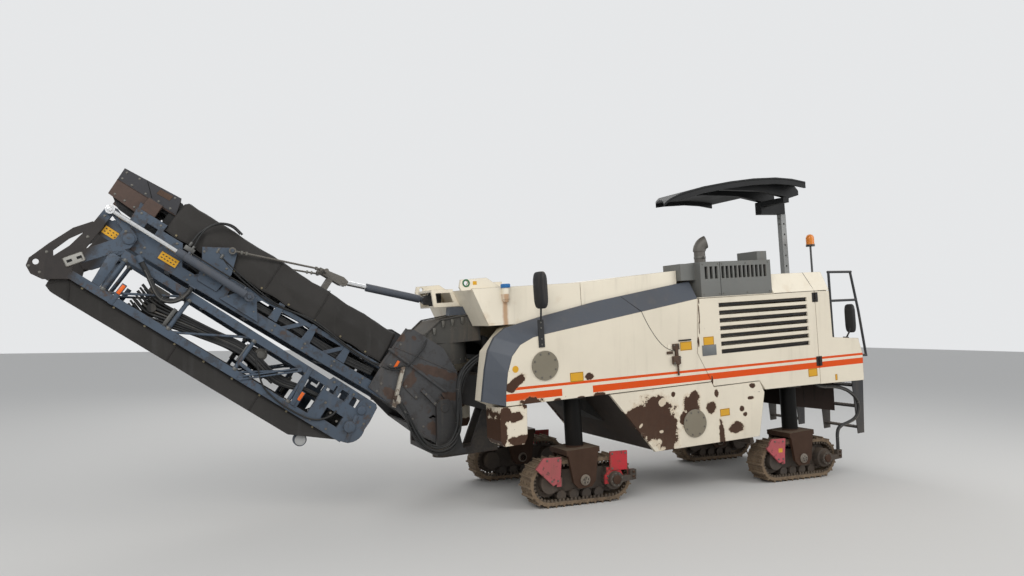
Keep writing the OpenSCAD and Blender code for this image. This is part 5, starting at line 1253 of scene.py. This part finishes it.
# along, out, height of the rib under the head
BOOT_BOLTS = ((-3.048, 0.171, 0.012), (-3.206, 0.128, 0.012), (-3.28, 0.205, 0.045), (-3.42, 0.172, 0.045),
              (-2.76, 0.52, 0), (-2.77, 0.4, 0), (-2.78, 0.28, 0), (-2.8, 0.06, 0), (-2.8, -0.03, 0), (-3.45, -0.1, 0),
              (-3.3, -0.09, 0))
for side, tag in SIDES:
    ribs = bmesh.new()
    face = side * BOOT_FACE

    def raised(shape, outline, high, face=face, side=side):
        plate(shape, outline, *outward(side, -0.002, high, face))

    raised(ribs, ((-2.715, 0.47), (-3.483, 0.592), (-3.489, 0.582), (-2.713, 0.458)), 0.006)
    raised(ribs, ((-3.005, 0.205), (-3.085, 0.19), (-3.235, 0.15), (-3.225, 0.105), (-3.03, 0.15)), 0.012)
    raised(ribs, ((-3.225, 0.24), (-3.47, 0.18), (-3.462, 0.145), (-3.215, 0.205)), 0.045)
    raised(ribs, ((-2.7, 0.2), (-2.741, 0.7), (-2.716, 0.7), (-2.675, 0.2)), 0.004)
    raised(ribs, ((-3.472, 0.602), (-3.8, 0.15), (-3.784, 0.145), (-3.456, 0.59)), 0.004)
    new_piece("boot_ribs_" + tag, ribs, boot_paint, *ON_REAR, round_off=0.003)
    dark = bmesh.new()
    raised(dark, ((-3.44, 0.3), (-3.5, 0.278), (-3.496, 0.266), (-3.436, 0.288)), 0.0015)
    raised(dark, ((-3.565, 0.205), (-3.625, 0.183), (-3.621, 0.171), (-3.561, 0.193)), 0.0015)
    new_piece("boot_slots_" + tag, dark, joint_black, *ON_REAR)
    bolts("boot_bolts_" + tag, [(u, face + side * h, v) for u, v, h in BOOT_BOLTS], (0, side, 0), 0.013, *ON_REAR)
marker_orange = coating("marker_orange", (0.78, 0.13, 0.006), rough=0.35, mottle=0.2, soil=0.25, wear=0.15, edge=0.002)
boxes("boot_marker", [((-2.852, -2.822), (BOOT_FACE, BOOT_FACE + 0.009), (0.27, 0.36))], marker_orange, "rear_conveyor",
      REAR, round_off=0.002)

# Head box: folded plate around the rear belt's head pulley, blue-grey above and rusted along its lower strip.
def rusted_strip(tree, place, colour):
    _, _, v = axes(tree, in_frame(tree, place, REAR))
    rust = tint(tree, speckle(tree, place, 20, 6, rough=0.7), (0.04, 0.024, 0.018), (0.092, 0.05, 0.034))
    return tint(tree, calc(tree, "LESS_THAN", v, 0.431), colour, rust)


head_paint = coating("head_paint", (0.026, 0.026, 0.031), rough=0.5, mottle=0.45, soil=0.14,
                     soil_colour=(0.125, 0.108, 0.088), wear=0.6, bare=(0.1, 0.06, 0.04), figure=rusted_strip)
dress(["conveyor_head_box"], head_paint)
HEAD_FACE = 0.345
HEAD_BOLTS = ((0.37, 0.53), (0.37, 0.46), (0.27, 0.455), (0.13, 0.455), (0.0, 0.458), (-0.12, 0.46), (-0.1, 0.57),
              (0.25, 0.545), (0.34, 0.3), (0.24, 0.295), (0.14, 0.29))
for side, tag in SIDES:
    face = side * HEAD_FACE
    parts = bmesh.new()
    plate(parts, ((0.12, 0.362), (0.058, 0.352), (0.052, 0.252), (0.096, 0.252)), *outward(side, 0, 0.03, face))
    new_piece("head_bracket_" + tag, parts, frame_paint, *ON_REAR, round_off=0.003)
    patch = bmesh.new()
    plate(patch, ((-0.08, 0.575), (0.05, 0.565), (0.056, 0.512), (-0.073, 0.52)), *outward(side, 0, 0.004, face))
    new_piece("head_patch_" + tag, patch, rusty, *ON_REAR, round_off=0.002)
    y = face + side * 0.001
    seam = ((0.19, y, 0.572), (0.118, y, 0.503), (0.046, y, 0.432))
    swept("head_seam_" + tag, seam, 0.0035, joint_black, *ON_REAR, step=0.04, sides=6)
    lower = ((0.4, y, 0.431), (0.06, y, 0.433), (-0.175, y, 0.436))
    swept("head_lip_" + tag, lower, 0.0045, head_paint, *ON_REAR, step=0.05, sides=6)
    heads = [(u, face, v) for u, v in HEAD_BOLTS]
    bolts("head_bolts_" + tag, heads, (0, side, 0), 0.011, *ON_REAR)

# Belts: black ply rubber with raised chevrons, grey with dust, around rusty drums.
belt_rubber = coating("belt_rubber", 0.022, rough=0.8, mottle=0.4, soil=0.8,
                      soil_colour=(0.1, 0.092, 0.08), wear=0.2, bare=(0.06, 0.06, 0.055))
dress(["conveyor_belt_rear", "conveyor_belt_front", "primary_conveyor"], belt_rubber)
for name, carrier, tail, head in (
    ("rear_cleats", ON_REAR, (-3.53, 0.0), (0.29, 0.345)),
    ("front_cleats", ON_FRONT, (-2.745, -0.4), (-0.52, -0.42)),
):
    run = Vector((head[0] - tail[0], 0, head[1] - tail[1]))
    slope = atan2(run.z, run.x)
    off = Vector((-sin(slope), 0, cos(slope))) * 0.0925
    cleat = bmesh.new()
    for half in (1, -1):
        place = Matrix.Translation((0.1, 0, 0)) @ Matrix.Rotation(pi + half * radians(62), 4, "Z")
        block(cleat, (0, 0.3), (-0.008, 0.008), (-0.002, 0.009), place)
    count = int(run.length / 0.21)
    spots = [(Vector((tail[0], 0, tail[1])) + run * ((k + 0.5) / count) + off, -slope) for k in range(count)]
    repeated(name, cleat, spots, belt_rubber, *carrier)

# Ropes: two wire ropes from the rails' brackets to a cross bar and a yoke, bright where they flex, taped at the end.
rope_wire = coating("rope_wire", (0.15, 0.14, 0.125), rough=0.55, metal=0.5, mottle=0.5, soil=0.5, wear=0.4,
                    bare=(0.3, 0.28, 0.25), dent=0.6, edge=0.003)
dress(["suspension_ropes"], rope_wire)
for side, tag in SIDES:
    start, end = Vector((-0.835, side * 0.466, 0.427)), Vector((-1.7, side * 0.262, 0.79))
    along = (end - start).normalized()
    first = along.cross(Vector((0, 0, 1))).normalized()
    second = along.cross(first)
    for k in range(4):
        strand = [start + (end - start) * t + 0.0075 * (cos(a) * first + sin(a) * second)
                  for t, a in [(i / 150, 2 * pi * (i / 150 * 13 + k / 4)) for i in range(151)]]
        swept(f"rope_{tag}_{k}", strand, 0.0042, rope_wire, *ON_REAR, step=0.012, sides=5)
    for t in (0.06, 0.11, 0.88, 0.93):
        place = Matrix.Translation(start + (end - start) * t) @ along.to_track_quat("X", "Z").to_matrix().to_4x4()
        grip = bmesh.new()
        block(grip, (-0.01, 0.01), (-0.016, 0.016), (-0.018, 0.018), place)
        new_piece(f"rope_clip_{tag}_{int(t * 100)}", grip, bolt_steel, *ON_REAR, round_off=0.003)

# Canvas covers: waxed cotton the colour of road dust, stretched over hoops along the rear length and hung under the
# folded front length, hemmed, with brass eyelets along the hem and puckers where it is tied down.
canvas_cloth = coating("canvas_cloth", (0.043, 0.0405, 0.038), rough=0.85, mottle=0.55, soil=0.3,
                       soil_colour=(0.082, 0.08, 0.08), wear=0.3, bare=(0.075, 0.068, 0.06), dent=0.25, gloss=0.15)
brass = coating("eyelet_brass", (0.2, 0.17, 0.11), rough=0.45, metal=0.7, soil=0.4, wear=0.2, edge=0.001)
COVER_THICK = 0.003
EYELET_PITCH = 0.31
REAR_FLAT = (1.416, 2.48)


def canvas(name, rows, inward, body, where, flat):
    """A cloth from rows of places, each with the way that it may sink in, folded by noise and given its thickness."""
    across = len(rows[0])
    shape = bmesh.new()
    verts = []
    for i, row in enumerate(rows):
        for j, (place, sink) in enumerate(row):
            s, t = i / (len(rows) - 1), j / (across - 1)
            slant = noise.noise(Vector((s * 9 + t * 2.6, t * 1.6 - s * 2.4, 4.1)))
            crease = 1 - min(1, abs(noise.noise(Vector((s * 6 - t * 3.4, t * 2 + s * 3, 9.3)))) * 5)
            small = noise.noise(Vector((s * 40, t * 14, 1.7)))
            deep = sink * (0.35 + 0.65 * slant + 0.55 * crease + 0.12 * small)
            verts.append(shape.verts.new(place + inward(i, j) * max(deep, 0.0008)))
    uv = shape.loops.layers.uv.new("cloth")
    for i in range(len(rows) - 1):
        for j in range(across - 1):
            corners = ((i, j), (i, j + 1), (i + 1, j + 1), (i + 1, j))
            face = shape.faces.new([verts[a * across + b] for a, b in corners])
            for loop, (a, b) in zip(face.loops, corners):
                loop[uv].uv = (b / (across - 1) * flat[0], a / (len(rows) - 1) * flat[1])
    made = new_piece(name, shape, canvas_cloth, body, where, smooth=80)
    thick = made.modifiers.new("thick", "SOLIDIFY")
    thick.thickness = COVER_THICK
    thick.offset = -1
    settle(made)
    return made


def eyelets(name, places, side, body, where):
    eyes = bmesh.new()
    for place in places:
        bmesh.ops.create_cone(eyes, cap_ends=True, segments=14, radius1=0.013, radius2=0.01, depth=0.005,
                              matrix=Matrix.Translation(place) @ Matrix.Rotation(-side * pi / 2, 4, "X"))
    return new_piece(name, eyes, brass, body, where)


def rise_between(u):
    """0 at each eyelet that is tied down, 1 midway to the next."""
    return 0.5 - 0.5 * cos(2 * pi * u / EYELET_PITCH)


def walk(corners, step):
    """Places each step along an open line of corners, as (distance, point)."""
    lengths = [dist(a, b) for a, b in zip(corners, corners[1:])]
    total = sum(lengths)
    count = max(2, round(total / step))
    places, k, done_far = [], 0, 0.0
    for i in range(count + 1):
        far = total * i / count
        while k < len(lengths) - 1 and far > done_far + lengths[k]:
            done_far += lengths[k]
            k += 1
        t = (far - done_far) / lengths[k]
        places.append((far, tuple(a + (b - a) * t for a, b in zip(corners[k], corners[k + 1]))))
    return places


HOOPS = (-0.2, -0.72, -1.27, -1.84, -2.29, -2.68)
SECTION = ((-0.405, 0.24), (-0.405, 0.42), (-0.33, 0.6), (-0.25, 0.622), (0.25, 0.622), (0.33, 0.6), (0.405, 0.42),
           (0.405, 0.24))
girth = walk(SECTION, 0.0155)
middle = Vector((0, 0, 0.33))
rows = []
for i in range(101):
    u = HOOPS[0] + (HOOPS[-1] - HOOPS[0]) * i / 100
    near = min(range(len(HOOPS) - 1), key=lambda k: abs(u - (HOOPS[k] + HOOPS[k + 1]) / 2))
    t = min(1.0, max(0.0, (HOOPS[near] - u) / (HOOPS[near] - HOOPS[near + 1])))
    free = sin(pi * t) ** 0.7 if 0 < t < 1 else 0.0
    row = []
    for far, (y, v) in girth:
        low = min(far, girth[-1][0] - far)
        tied = exp(-low / 0.1) * rise_between(u)
        scallop = 0.012 * exp(-low / 0.05) * rise_between(u)
        # its end is tucked down to the head box, out of the way of the unfolded front cover
        tuck = 0.036 * max(0.0, 1 - (HOOPS[0] - u) / 0.03) * max(0.0, (v - 0.42) / 0.2)
        top = max(0.0, 1 - abs(y) / 0.3) if v > 0.59 else 0.0
        row.append((Vector((u, y, v + scallop - tuck)), 0.003 + 0.013 * free + 0.006 * tied + 0.014 * free * top))
    rows.append(row)


def towards_middle(i, j):
    place = rows[i][j][0]
    way = Vector((0, middle.y - place.y, middle.z - place.z))
    if abs(place.y) < 0.26:
        way = Vector((0, 0, -1))
    return way.normalized()


rear_cover = canvas("rear_cover", rows, towards_middle, *ON_REAR, REAR_FLAT)
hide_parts("conveyor_rear_cover")
for side, tag in SIDES:
    # a rubber apron closes the gap to the head box
    apron = bmesh.new()
    plate(apron, ((-0.215, 0.3), (-0.215, 0.545), (-0.185, 0.566), (-0.13, 0.566), (-0.13, 0.3)),
          *outward(side, 0.316, 0.322))
    new_piece("head_apron_" + tag, apron, belt_rubber, *ON_REAR, round_off=0.002)
    edge = [(u, side * 0.4055, 0.24 + 0.012 * rise_between(u) + 0.004)
            for u in [HOOPS[0] + (HOOPS[-1] - HOOPS[0]) * k / 120 for k in range(121)]]
    swept("rear_cover_hem_" + tag, edge, 0.0052, canvas_cloth, *ON_REAR, step=0.02, sides=6)
    eyelets("rear_cover_eyelets_" + tag, [(-EYELET_PITCH * k, side * 0.4075, 0.262) for k in range(1, 9)],
                         side, *ON_REAR)
    for k, u in enumerate((-1.842, -1.27)):
        seam = [(u, side * y, v) for y, v in ((0.4065, 0.275), (0.4065, 0.42), (0.333, 0.6), (0.25, 0.6235),
                                              (0.0, 0.62))]
        swept(f"rear_cover_seam_{k}_{tag}", seam, 0.0035, canvas_cloth, *ON_REAR, step=0.03,
                           sides=5)

FRONT_BOTTOM = ((0.185, -0.5805), (0.314, -0.728), (0.238, -0.76), (-2.264, -0.775), (-2.7, -0.5805))
COVER_HALF = 0.446
COVER_TOP = -0.5803
spine = walk(FRONT_BOTTOM, 0.03)
rows = []
for far, (u, v) in spine:
    drop = COVER_TOP - v
    line = [(-COVER_HALF, COVER_TOP - drop * k / 9) for k in range(9)]
    line += [(-COVER_HALF + 2 * COVER_HALF * k / 44, v) for k in range(45)]
    line += [(COVER_HALF, COVER_TOP - drop * (9 - k) / 9) for k in range(1, 10)]
    between = abs(sin(pi * far / 0.62))
    rows.append([(Vector((u, y, w)),
                  0.002 + 0.01 * between * (1 if abs(y) < COVER_HALF - 0.02 or abs(w - v) > 0.02 else 0.3))
                 for y, w in line])


def up_or_in(i, j):
    place = rows[i][j][0]
    if abs(place.y) > COVER_HALF - 0.001:
        return Vector((0, -copysign(1, place.y), 0.25)).normalized()
    return Vector((0, 0, 1))


area = 2 * COVER_HALF * spine[-1][0] + sum(
    2 * (COVER_TOP - (a[1][1] + b[1][1]) / 2) * abs(b[1][0] - a[1][0]) for a, b in zip(spine, spine[1:]))
FRONT_FLAT = (area / spine[-1][0], spine[-1][0])
front_cover = canvas("front_cover", rows, up_or_in, *ON_FRONT, FRONT_FLAT)
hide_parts("conveyor_front_cover")
for side, tag in SIDES:
    face = side * (COVER_HALF + 0.001)
    for k, seam in enumerate((
        ((0.18, face, -0.582), (0.13, face, -0.66), (0.066, face, -0.76)),
        ((0.15, face, -0.6), (-1.0, face, -0.602), (-2.62, face, -0.6)),
        ((-0.9, face, -0.59), (-0.91, face, -0.765)), ((-1.8, face, -0.59), (-1.81, face, -0.77)),
    )):
        swept(f"front_cover_seam_{k}_{tag}", seam, 0.0035, canvas_cloth, *ON_FRONT,
                           step=0.05, sides=5)
    places = [(0.05 - EYELET_PITCH * k, side * (COVER_HALF + 0.0015), -0.592) for k in range(9)]
    eyelets("front_cover_eyelets_" + tag, places, side, *ON_FRONT)

# Cylinders: slate barrels with a ring at the gland, hard chromed rods with forged eyes.
dress(["fold_barrels", "lift_barrel"], slate_paint)


def dulled(tree, place, colour):
    """Chrome gone dull in specks."""
    fine = speckle(tree, place, 30, 4)
    return tint(tree, times(tree, ease(tree, fine, 0.5, 0.7), 0.35), colour, (0.4, 0.36, 0.3))


rod_chrome = coating("rod_chrome", (0.72, 0.73, 0.74), rough=0.16, metal=1.0, mottle=0.1, soil=0.12, wear=0.1,
                     bare=(0.25, 0.23, 0.2), dent=0.03, figure=dulled)
dress(["fold_rods", "lift_rod"], rod_chrome)
FOLD_BASE = Vector((-1.18, 0, 0.115))
FOLD_LINE = Matrix.Rotation(radians(37.2 - 35.4), 3, "Y").inverted() @ Vector((0.275, 0, 0.13)) - FOLD_BASE
for side, tag in SIDES:
    where = REAR @ Matrix.Translation((FOLD_BASE.x, side * 0.512, FOLD_BASE.z)) @ Matrix.Rotation(
        -atan2(FOLD_LINE.z, FOLD_LINE.x), 4, "Y")
    gland = bmesh.new()
    bar(gland, (0.7, 0, 0), (0.775, 0, 0), 0.0425, 32)
    bar(gland, (0.075, 0, 0.03), (0.075, 0, 0.062), 0.014, 12)
    bar(gland, (0.68, 0, 0.03), (0.68, 0, 0.062), 0.014, 12)
    new_piece("fold_gland_" + tag, gland, slate_paint, "fold_cylinder_barrels", where, round_off=0.002)
    pipe = ((0.075, 0, 0.06), (0.12, 0, 0.07), (0.35, 0, 0.06), (0.62, 0, 0.06), (0.66, 0, 0.058), (0.68, 0, 0.05))
    swept("fold_pipe_" + tag, pipe, 0.0075, hose_black, "fold_cylinder_barrels", where, sides=8)

# Front length of the conveyor, folded under the rear one: plates, markers, hydraulic lines and fittings on its lattice.
FRAME_FACE = 0.48
FRAME_BOLTS = (
    (0.06, 0.045), (0.2, 0.135), (0.28, 0.06), (0.28, -0.18), (0.2, -0.37), (0.46, -0.48), (0.4, -0.66), (0.5, -0.66),
    (-2.36, -0.1), (-2.6, -0.1), (-2.82, -0.12), (-2.36, -0.54), (-2.55, -0.54), (-2.5, -0.38), (-2.4, -0.32),
    (-2.86, -0.3), (-2.6, -0.42))
slotted = coating("slotted_plate", (0.36, 0.35, 0.32), rough=0.5, mottle=0.4, soil=0.4, wear=0.4,
                  bare=(0.12, 0.09, 0.07))
lens_glass = coating("lamp_glass", (0.42, 0.43, 0.43), rough=0.12, mottle=0.2, soil=0.3, wear=0.05, dent=0.05)


def spotted_sign(name, body, where, u, v, y, dots, turn=0.0):
    """A blank yellow plate with a worn black border and a row of black spots, on a face at y."""
    side = copysign(1, y)
    lean = Matrix.Translation(((u[0] + u[1]) / 2, 0, (v[0] + v[1]) / 2)) @ turned(turn)
    half_u, half_v = (u[1] - u[0]) / 2, (v[1] - v[0]) / 2
    sign, marks = bmesh.new(), bmesh.new()
    block(sign, (-half_u, half_u), outward(side, 0, 0.002, y), (-half_v, half_v), lean)
    new_piece(name, sign, yellow, body, where)
    for k in range(dots):
        x = -half_u * 0.7 + 1.4 * half_u * k / (dots - 1)
        for z in (-half_v * 0.35, half_v * 0.35):
            block(marks, (x - half_u * 0.1, x + half_u * 0.1), outward(side, 0.0015, 0.0027, y),
                  (z - half_v * 0.12, z + half_v * 0.12), lean)
    for end in (-1, 1):
        block(marks, (-half_u, half_u), outward(side, 0.0015, 0.0027, y),
              sorted((end * half_v * 0.92, end * half_v)), lean)
    new_piece(name + "_marks", marks, ink, body, where)


for side, tag in SIDES:
    face = side * FRAME_FACE
    body, where = ON_FRONT

    def set_on(shape, outline, high, base=None, face=face, side=side):
        start = face if base is None else side * base
        plate(shape, outline, *outward(side, -0.001, high, start))

    # perforated yellow plate in the crank's window, pale slotted plate on the arm
    boxes("crank_backing_" + tag, [((0.07, 0.24), outward(side, 0.437, 0.4405), (-0.11, 0.06))], frame_paint, body,
          where)
    spotted_sign("crank_plate_" + tag, body, where, (0.085, 0.225), (-0.08, 0.0), side * 0.4406, 4)
    pale_plate = bmesh.new()
    lean = Matrix.Translation((0.25, 0, -0.41)) @ turned(-32)
    block(pale_plate, (-0.045, 0.045), outward(side, 0, 0.008, face), (-0.085, 0.085), lean)
    new_piece("arm_plate_" + tag, pale_plate, slotted, body, where, round_off=0.01)
    slots = bmesh.new()
    for z in (-0.04, 0.045):
        block(slots, (-0.012, 0.012), outward(side, 0.0078, 0.0088, face), (z - 0.022, z + 0.022), lean)
    new_piece("arm_slots_" + tag, slots, joint_black, body, where)
    # markers, flat bars, a boss and the fin at the lower end
    proud = outward(side, 0.002, 0.01, face)
    boxes("frame_markers_" + tag, [((-0.232, -0.2), proud, (-0.47, -0.375)), ((-2.168, -2.135), proud, (-0.44, -0.35))],
          marker_orange, body, where, round_off=0.002)
    flats = bmesh.new()
    thick = outward(side, 0.478, FRAME_FACE + 0.0025)
    block(flats, (-0.24, -0.192), thick, (-0.585, -0.365))
    block(flats, (-2.176, -2.127), thick, (-0.52, -0.34))
    set_on(flats, ((-2.05, -0.11), (-2.1, -0.11), (-2.15, -0.51), (-2.1, -0.51)), 0.01)
    set_on(flats, ((-2.725, -0.265), (-2.77, -0.265), (-2.83, -0.545), (-2.79, -0.555)), 0.009)
    set_on(flats, ((-1.455, -0.41), (-1.69, -0.435), (-1.69, -0.47), (-1.455, -0.445)), 0.012, base=0.47)
    set_on(flats, ((-0.04, -0.1), (0.06, -0.18), (0.02, -0.5), (-0.06, -0.5)), 0.006, base=0.474)
    bar(flats, (-2.759, face, -0.196), (-2.759, face + side * 0.018, -0.196), 0.045, 28)
    bar(flats, (-2.745, face, -0.4), (-2.745, face + side * 0.026, -0.4), 0.06, 28)
    bar(flats, (0.0, side * 0.4845, 0.0), (0.0, side * 0.494, 0.0), 0.052, 32)
    new_piece("frame_flats_" + tag, flats, frame_paint, body, where, round_off=0.003)
    rods = bmesh.new()
    for shift in (-0.022, 0.022):
        bar(rods, (-1.557 + shift, face + side * 0.01, -0.546), (-1.993 + shift, face + side * 0.01, -0.178), 0.009, 12)
    for u, v in ((-1.557, -0.546), (-1.993, -0.178)):
        bar(rods, (u, face - side * 0.004, v), (u, face + side * 0.016, v), 0.026, 20)
    new_piece("frame_twin_rods_" + tag, rods, frame_paint, body, where)
    bolts("frame_bolts_" + tag, [(u, face, v) for u, v in FRAME_BOLTS], (0, side, 0), 0.013, body, where)
    # lines clamped inside the lattice: some pass along the upper chord, the rest sag from strut to strut
    inside = side * 0.425
    for k in range(7):
        low = 0.03 * k
        further = inside - side * 0.006 * k
        line = [(-0.33, further, -0.28 - 1.2 * low), (-0.5, further, -0.33 - 1.2 * low),
                (-0.7, inside, -0.33 - 0.9 * low), (-1.05, further, -0.3 - 0.6 * low),
                (-1.45, inside, -0.26 - 0.5 * low), (-1.85, further, -0.34 - 0.5 * low),
                (-2.1, inside, -0.31 - 0.3 * low), (-2.4, inside, -0.28 - 0.2 * low)]
        swept(f"frame_line_{k}_{tag}", line[:8 - k // 3], (0.013, 0.01, 0.014, 0.009)[k % 4],
              (hose_black, cable_grey)[k == 3], body, where, step=0.03, sides=8)
    clamps = bmesh.new()
    for u, v in ((-0.7, -0.41), (-1.45, -0.33), (-2.1, -0.36)):
        block(clamps, (u - 0.018, u + 0.018), outward(side, 0.395, 0.4385), (v - 0.1, v + 0.1))
    for u in (-0.09, -0.75, -1.466, -2.074):
        for v in (-0.165, -0.485):
            bar(clamps, (u, side * 0.458, v), (u, side * 0.458, v - 0.03), 0.03, 16)
    new_piece("frame_clamps_" + tag, clamps, tie_steel, body, where, round_off=0.002)
    # hydraulic motor and valve block inside the lattice
    motor = bmesh.new()
    bar(motor, (-1.598, side * 0.3, -0.251), (-1.598, side * 0.425, -0.251), 0.062, 28)
    bar(motor, (-1.598, side * 0.425, -0.251), (-1.598, side * 0.44, -0.251), 0.04, 24)
    block(motor, (-1.7, -1.52), outward(side, 0.31, 0.4), (-0.36, -0.3))
    block(motor, (-0.58, -0.4), outward(side, 0.36, 0.43), (-0.3, -0.22))
    for u in (-0.56, -0.52, -0.48, -0.44):
        bar(motor, (u, side * 0.395, -0.3), (u, side * 0.395, -0.35), 0.011, 10)
    new_piece("frame_motor_" + tag, motor, hood_black, body, where, round_off=0.003)
    # one line ends in a loop along the lower chord and rises to the head plate
    loop = [(u, side * 0.492, v) for u, v in (
        (-1.56, -0.3), (-1.755, -0.481), (-1.9, -0.535), (-2.088, -0.556), (-2.3, -0.545), (-2.43, -0.5),
        (-2.512, -0.411), (-2.54, -0.33))]
    swept("frame_loop_" + tag, loop, 0.009, hose_black, body, where, sides=8)
lamp = bmesh.new()
bar(lamp, (-2.412, 0.3, -0.76), (-2.412, 0.385, -0.76), 0.066, 32)
block(lamp, (-2.44, -2.384), (0.315, 0.365), (-0.72, -0.66))
new_piece("work_lamp", lamp, frame_paint, *ON_FRONT, round_off=0.006)
lamp = bmesh.new()
bar(lamp, (-2.412, 0.385, -0.76), (-2.412, 0.392, -0.76), 0.056, 32)
new_piece("work_lamp_glass", lamp, lens_glass, *ON_FRONT, round_off=0.002)

# Rear length's rail: yellow plates, a rope's taped end, brackets under the cover, and lines laid along cover and rail.
tape = coating("white_tape", (0.55, 0.54, 0.51), rough=0.8, mottle=0.4, soil=0.4, wear=0.2)
RAIL_FACE = 0.42
RAIL_BOLTS = [(u, v) for u in (-0.15, -0.62, -1.55, -1.9, -2.25, -2.6, -2.9) for v in (-0.045, 0.01)]
RAIL_BOLTS += [(0.05, 0.27), (0.05, 0.1), (-0.15, 0.265), (-0.36, 0.2), (-0.44, 0.12)]
ROPE_BOLTS = ((-0.6, 0.27), (-0.7, 0.33), (-0.86, 0.24), (-0.84, 0.1), (-0.72, 0.08), (-1.02, 0.02), (-1.3, 0.02),
              (-1.18, 0.12))
# radius and route of each line beside the cover
COVER_LINES = (
    (0.009, (
        (-0.7, 0.43, 0.345), (-0.902, 0.43, 0.256), (-1.204, 0.418, 0.2), (-1.438, 0.416, 0.186), (-1.84, 0.42, 0.256),
        (-2.232, 0.418, 0.219), (-2.575, 0.418, 0.203), (-2.74, 0.43, 0.25), (-2.814, 0.455, 0.262),
        (-2.9, 0.474, 0.34), (-2.951, 0.474, 0.389), (-2.99, 0.47, 0.6), (-2.985, 0.44, 0.715))),
    (0.007, (
        (-0.76, 0.44, 0.31), (-1.117, 0.43, 0.239), (-1.433, 0.424, 0.203), (-1.839, 0.424, 0.24),
        (-2.291, 0.424, 0.197), (-2.62, 0.424, 0.19), (-2.677, 0.43, 0.215), (-2.78, 0.452, 0.23),
        (-2.902, 0.474, 0.294))),
    (0.011, (
        (-0.461, 0.436, 0.273), (-0.47, 0.44, 0.4), (-0.53, 0.44, 0.54), (-0.608, 0.425, 0.608), (-0.69, 0.36, 0.64),
        (-0.8, 0.33, 0.622))),
    (0.009, (
        (-0.499, 0.436, 0.252), (-0.488, 0.442, 0.39), (-0.51, 0.444, 0.5), (-0.59, 0.43, 0.59),
        (-0.688, 0.395, 0.622), (-0.78, 0.36, 0.61))),
)
for side, tag in SIDES:
    body, where = ON_REAR
    face = side * RAIL_FACE
    spotted_sign("rail_plate_" + tag, body, where, (-0.47, -0.292), (-0.012, 0.072), face + side * 0.002, 5)
    parts = bmesh.new()
    block(parts, (-0.48, -0.282), outward(side, -0.004, 0.002, face), (-0.02, 0.08))
    for u, v in ((-1.495, 0.106), (-1.889, 0.092), (-0.961, 0.037), (-2.3, 0.1)):
        plate(parts, ((u - 0.03, v + 0.13), (u + 0.03, v + 0.13), (u + 0.05, v - 0.06), (u - 0.05, v - 0.06)),
              *outward(side, 0.398, 0.416))
    new_piece("rail_brackets_" + tag, parts, frame_paint, body, where, round_off=0.002)
    bolts("rail_bolts_" + tag, [(u, face, v) for u, v in RAIL_BOLTS], (0, side, 0), 0.012, body, where)
    heads = [(u, side * 0.438, v) for u, v in ROPE_BOLTS]
    bolts("rope_plate_bolts_" + tag, heads, (0, side, 0), 0.012, body, where)
    wrap = [(-0.43 - 0.012 * k, side * (0.4245 + 0.0015 * (k % 2)), 0.228 - 0.0065 * k) for k in range(9)]
    swept("rope_tape_" + tag, wrap, 0.0045, tape, body, where, step=0.006, sides=8)
    for k, (radius, route) in enumerate(COVER_LINES):
        swept(f"cover_line_{k}_{tag}", [(u, side * y, v) for u, y, v in route], radius, hose_black, body, where,
              sides=8)
    for k in range(5):
        rail_line = [(-0.55, side * (0.395 - 0.006 * k), 0.085 + 0.012 * k), (-1.0, side * 0.385, 0.055 + 0.014 * k),
                     (-1.6, side * (0.392 - 0.006 * k), 0.08 + 0.01 * k), (-2.2, side * 0.38, 0.05 + 0.016 * k),
                     (-2.66, side * 0.385, 0.09 + 0.014 * k)]
        swept(f"rail_line_{k}_{tag}", rail_line, (0.012, 0.009, 0.013, 0.008, 0.011)[k], hose_black, body, where,
              step=0.03, sides=8)
    fittings = bmesh.new()
    for u, y, v in ((-0.461, 0.436, 0.262), (-0.499, 0.436, 0.24), (-0.7, 0.43, 0.352), (-0.76, 0.44, 0.318)):
        bar(fittings, (u, side * y, v - 0.022), (u, side * y, v + 0.022), 0.015, 6)
    block(fittings, (-0.53, -0.43), outward(side, 0.4205, 0.448), (0.19, 0.235))
    new_piece("rail_fittings_" + tag, fittings, tie_steel, body, where, round_off=0.001)

# Lines between the machine's front wall and the conveyor's foot: a sheaf beside the big sleeve, strapped to it.
SHEAF = ((0.05, 0.03, 0.012), (0.075, -0.02, 0.011), (0.04, -0.06, 0.013), (0.09, 0.02, 0.009))
fine = eased(SLEW_ROUTE)
for k, (out_by, up_by, radius) in enumerate(SHEAF):
    wander = [p + Vector((up_by * 0.5 * sin(i * 0.21 + k),
                          out_by * (0.35 + 0.65 * sin(pi * i / len(fine))),
                          up_by * (0.4 + 0.6 * sin(pi * i / len(fine)))))
              for i, p in enumerate(fine)][6:-6:3]
    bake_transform(swept(f"sheaf_line_{k}", wander, radius, hose_black, None, BODY, step=0.03, sides=8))
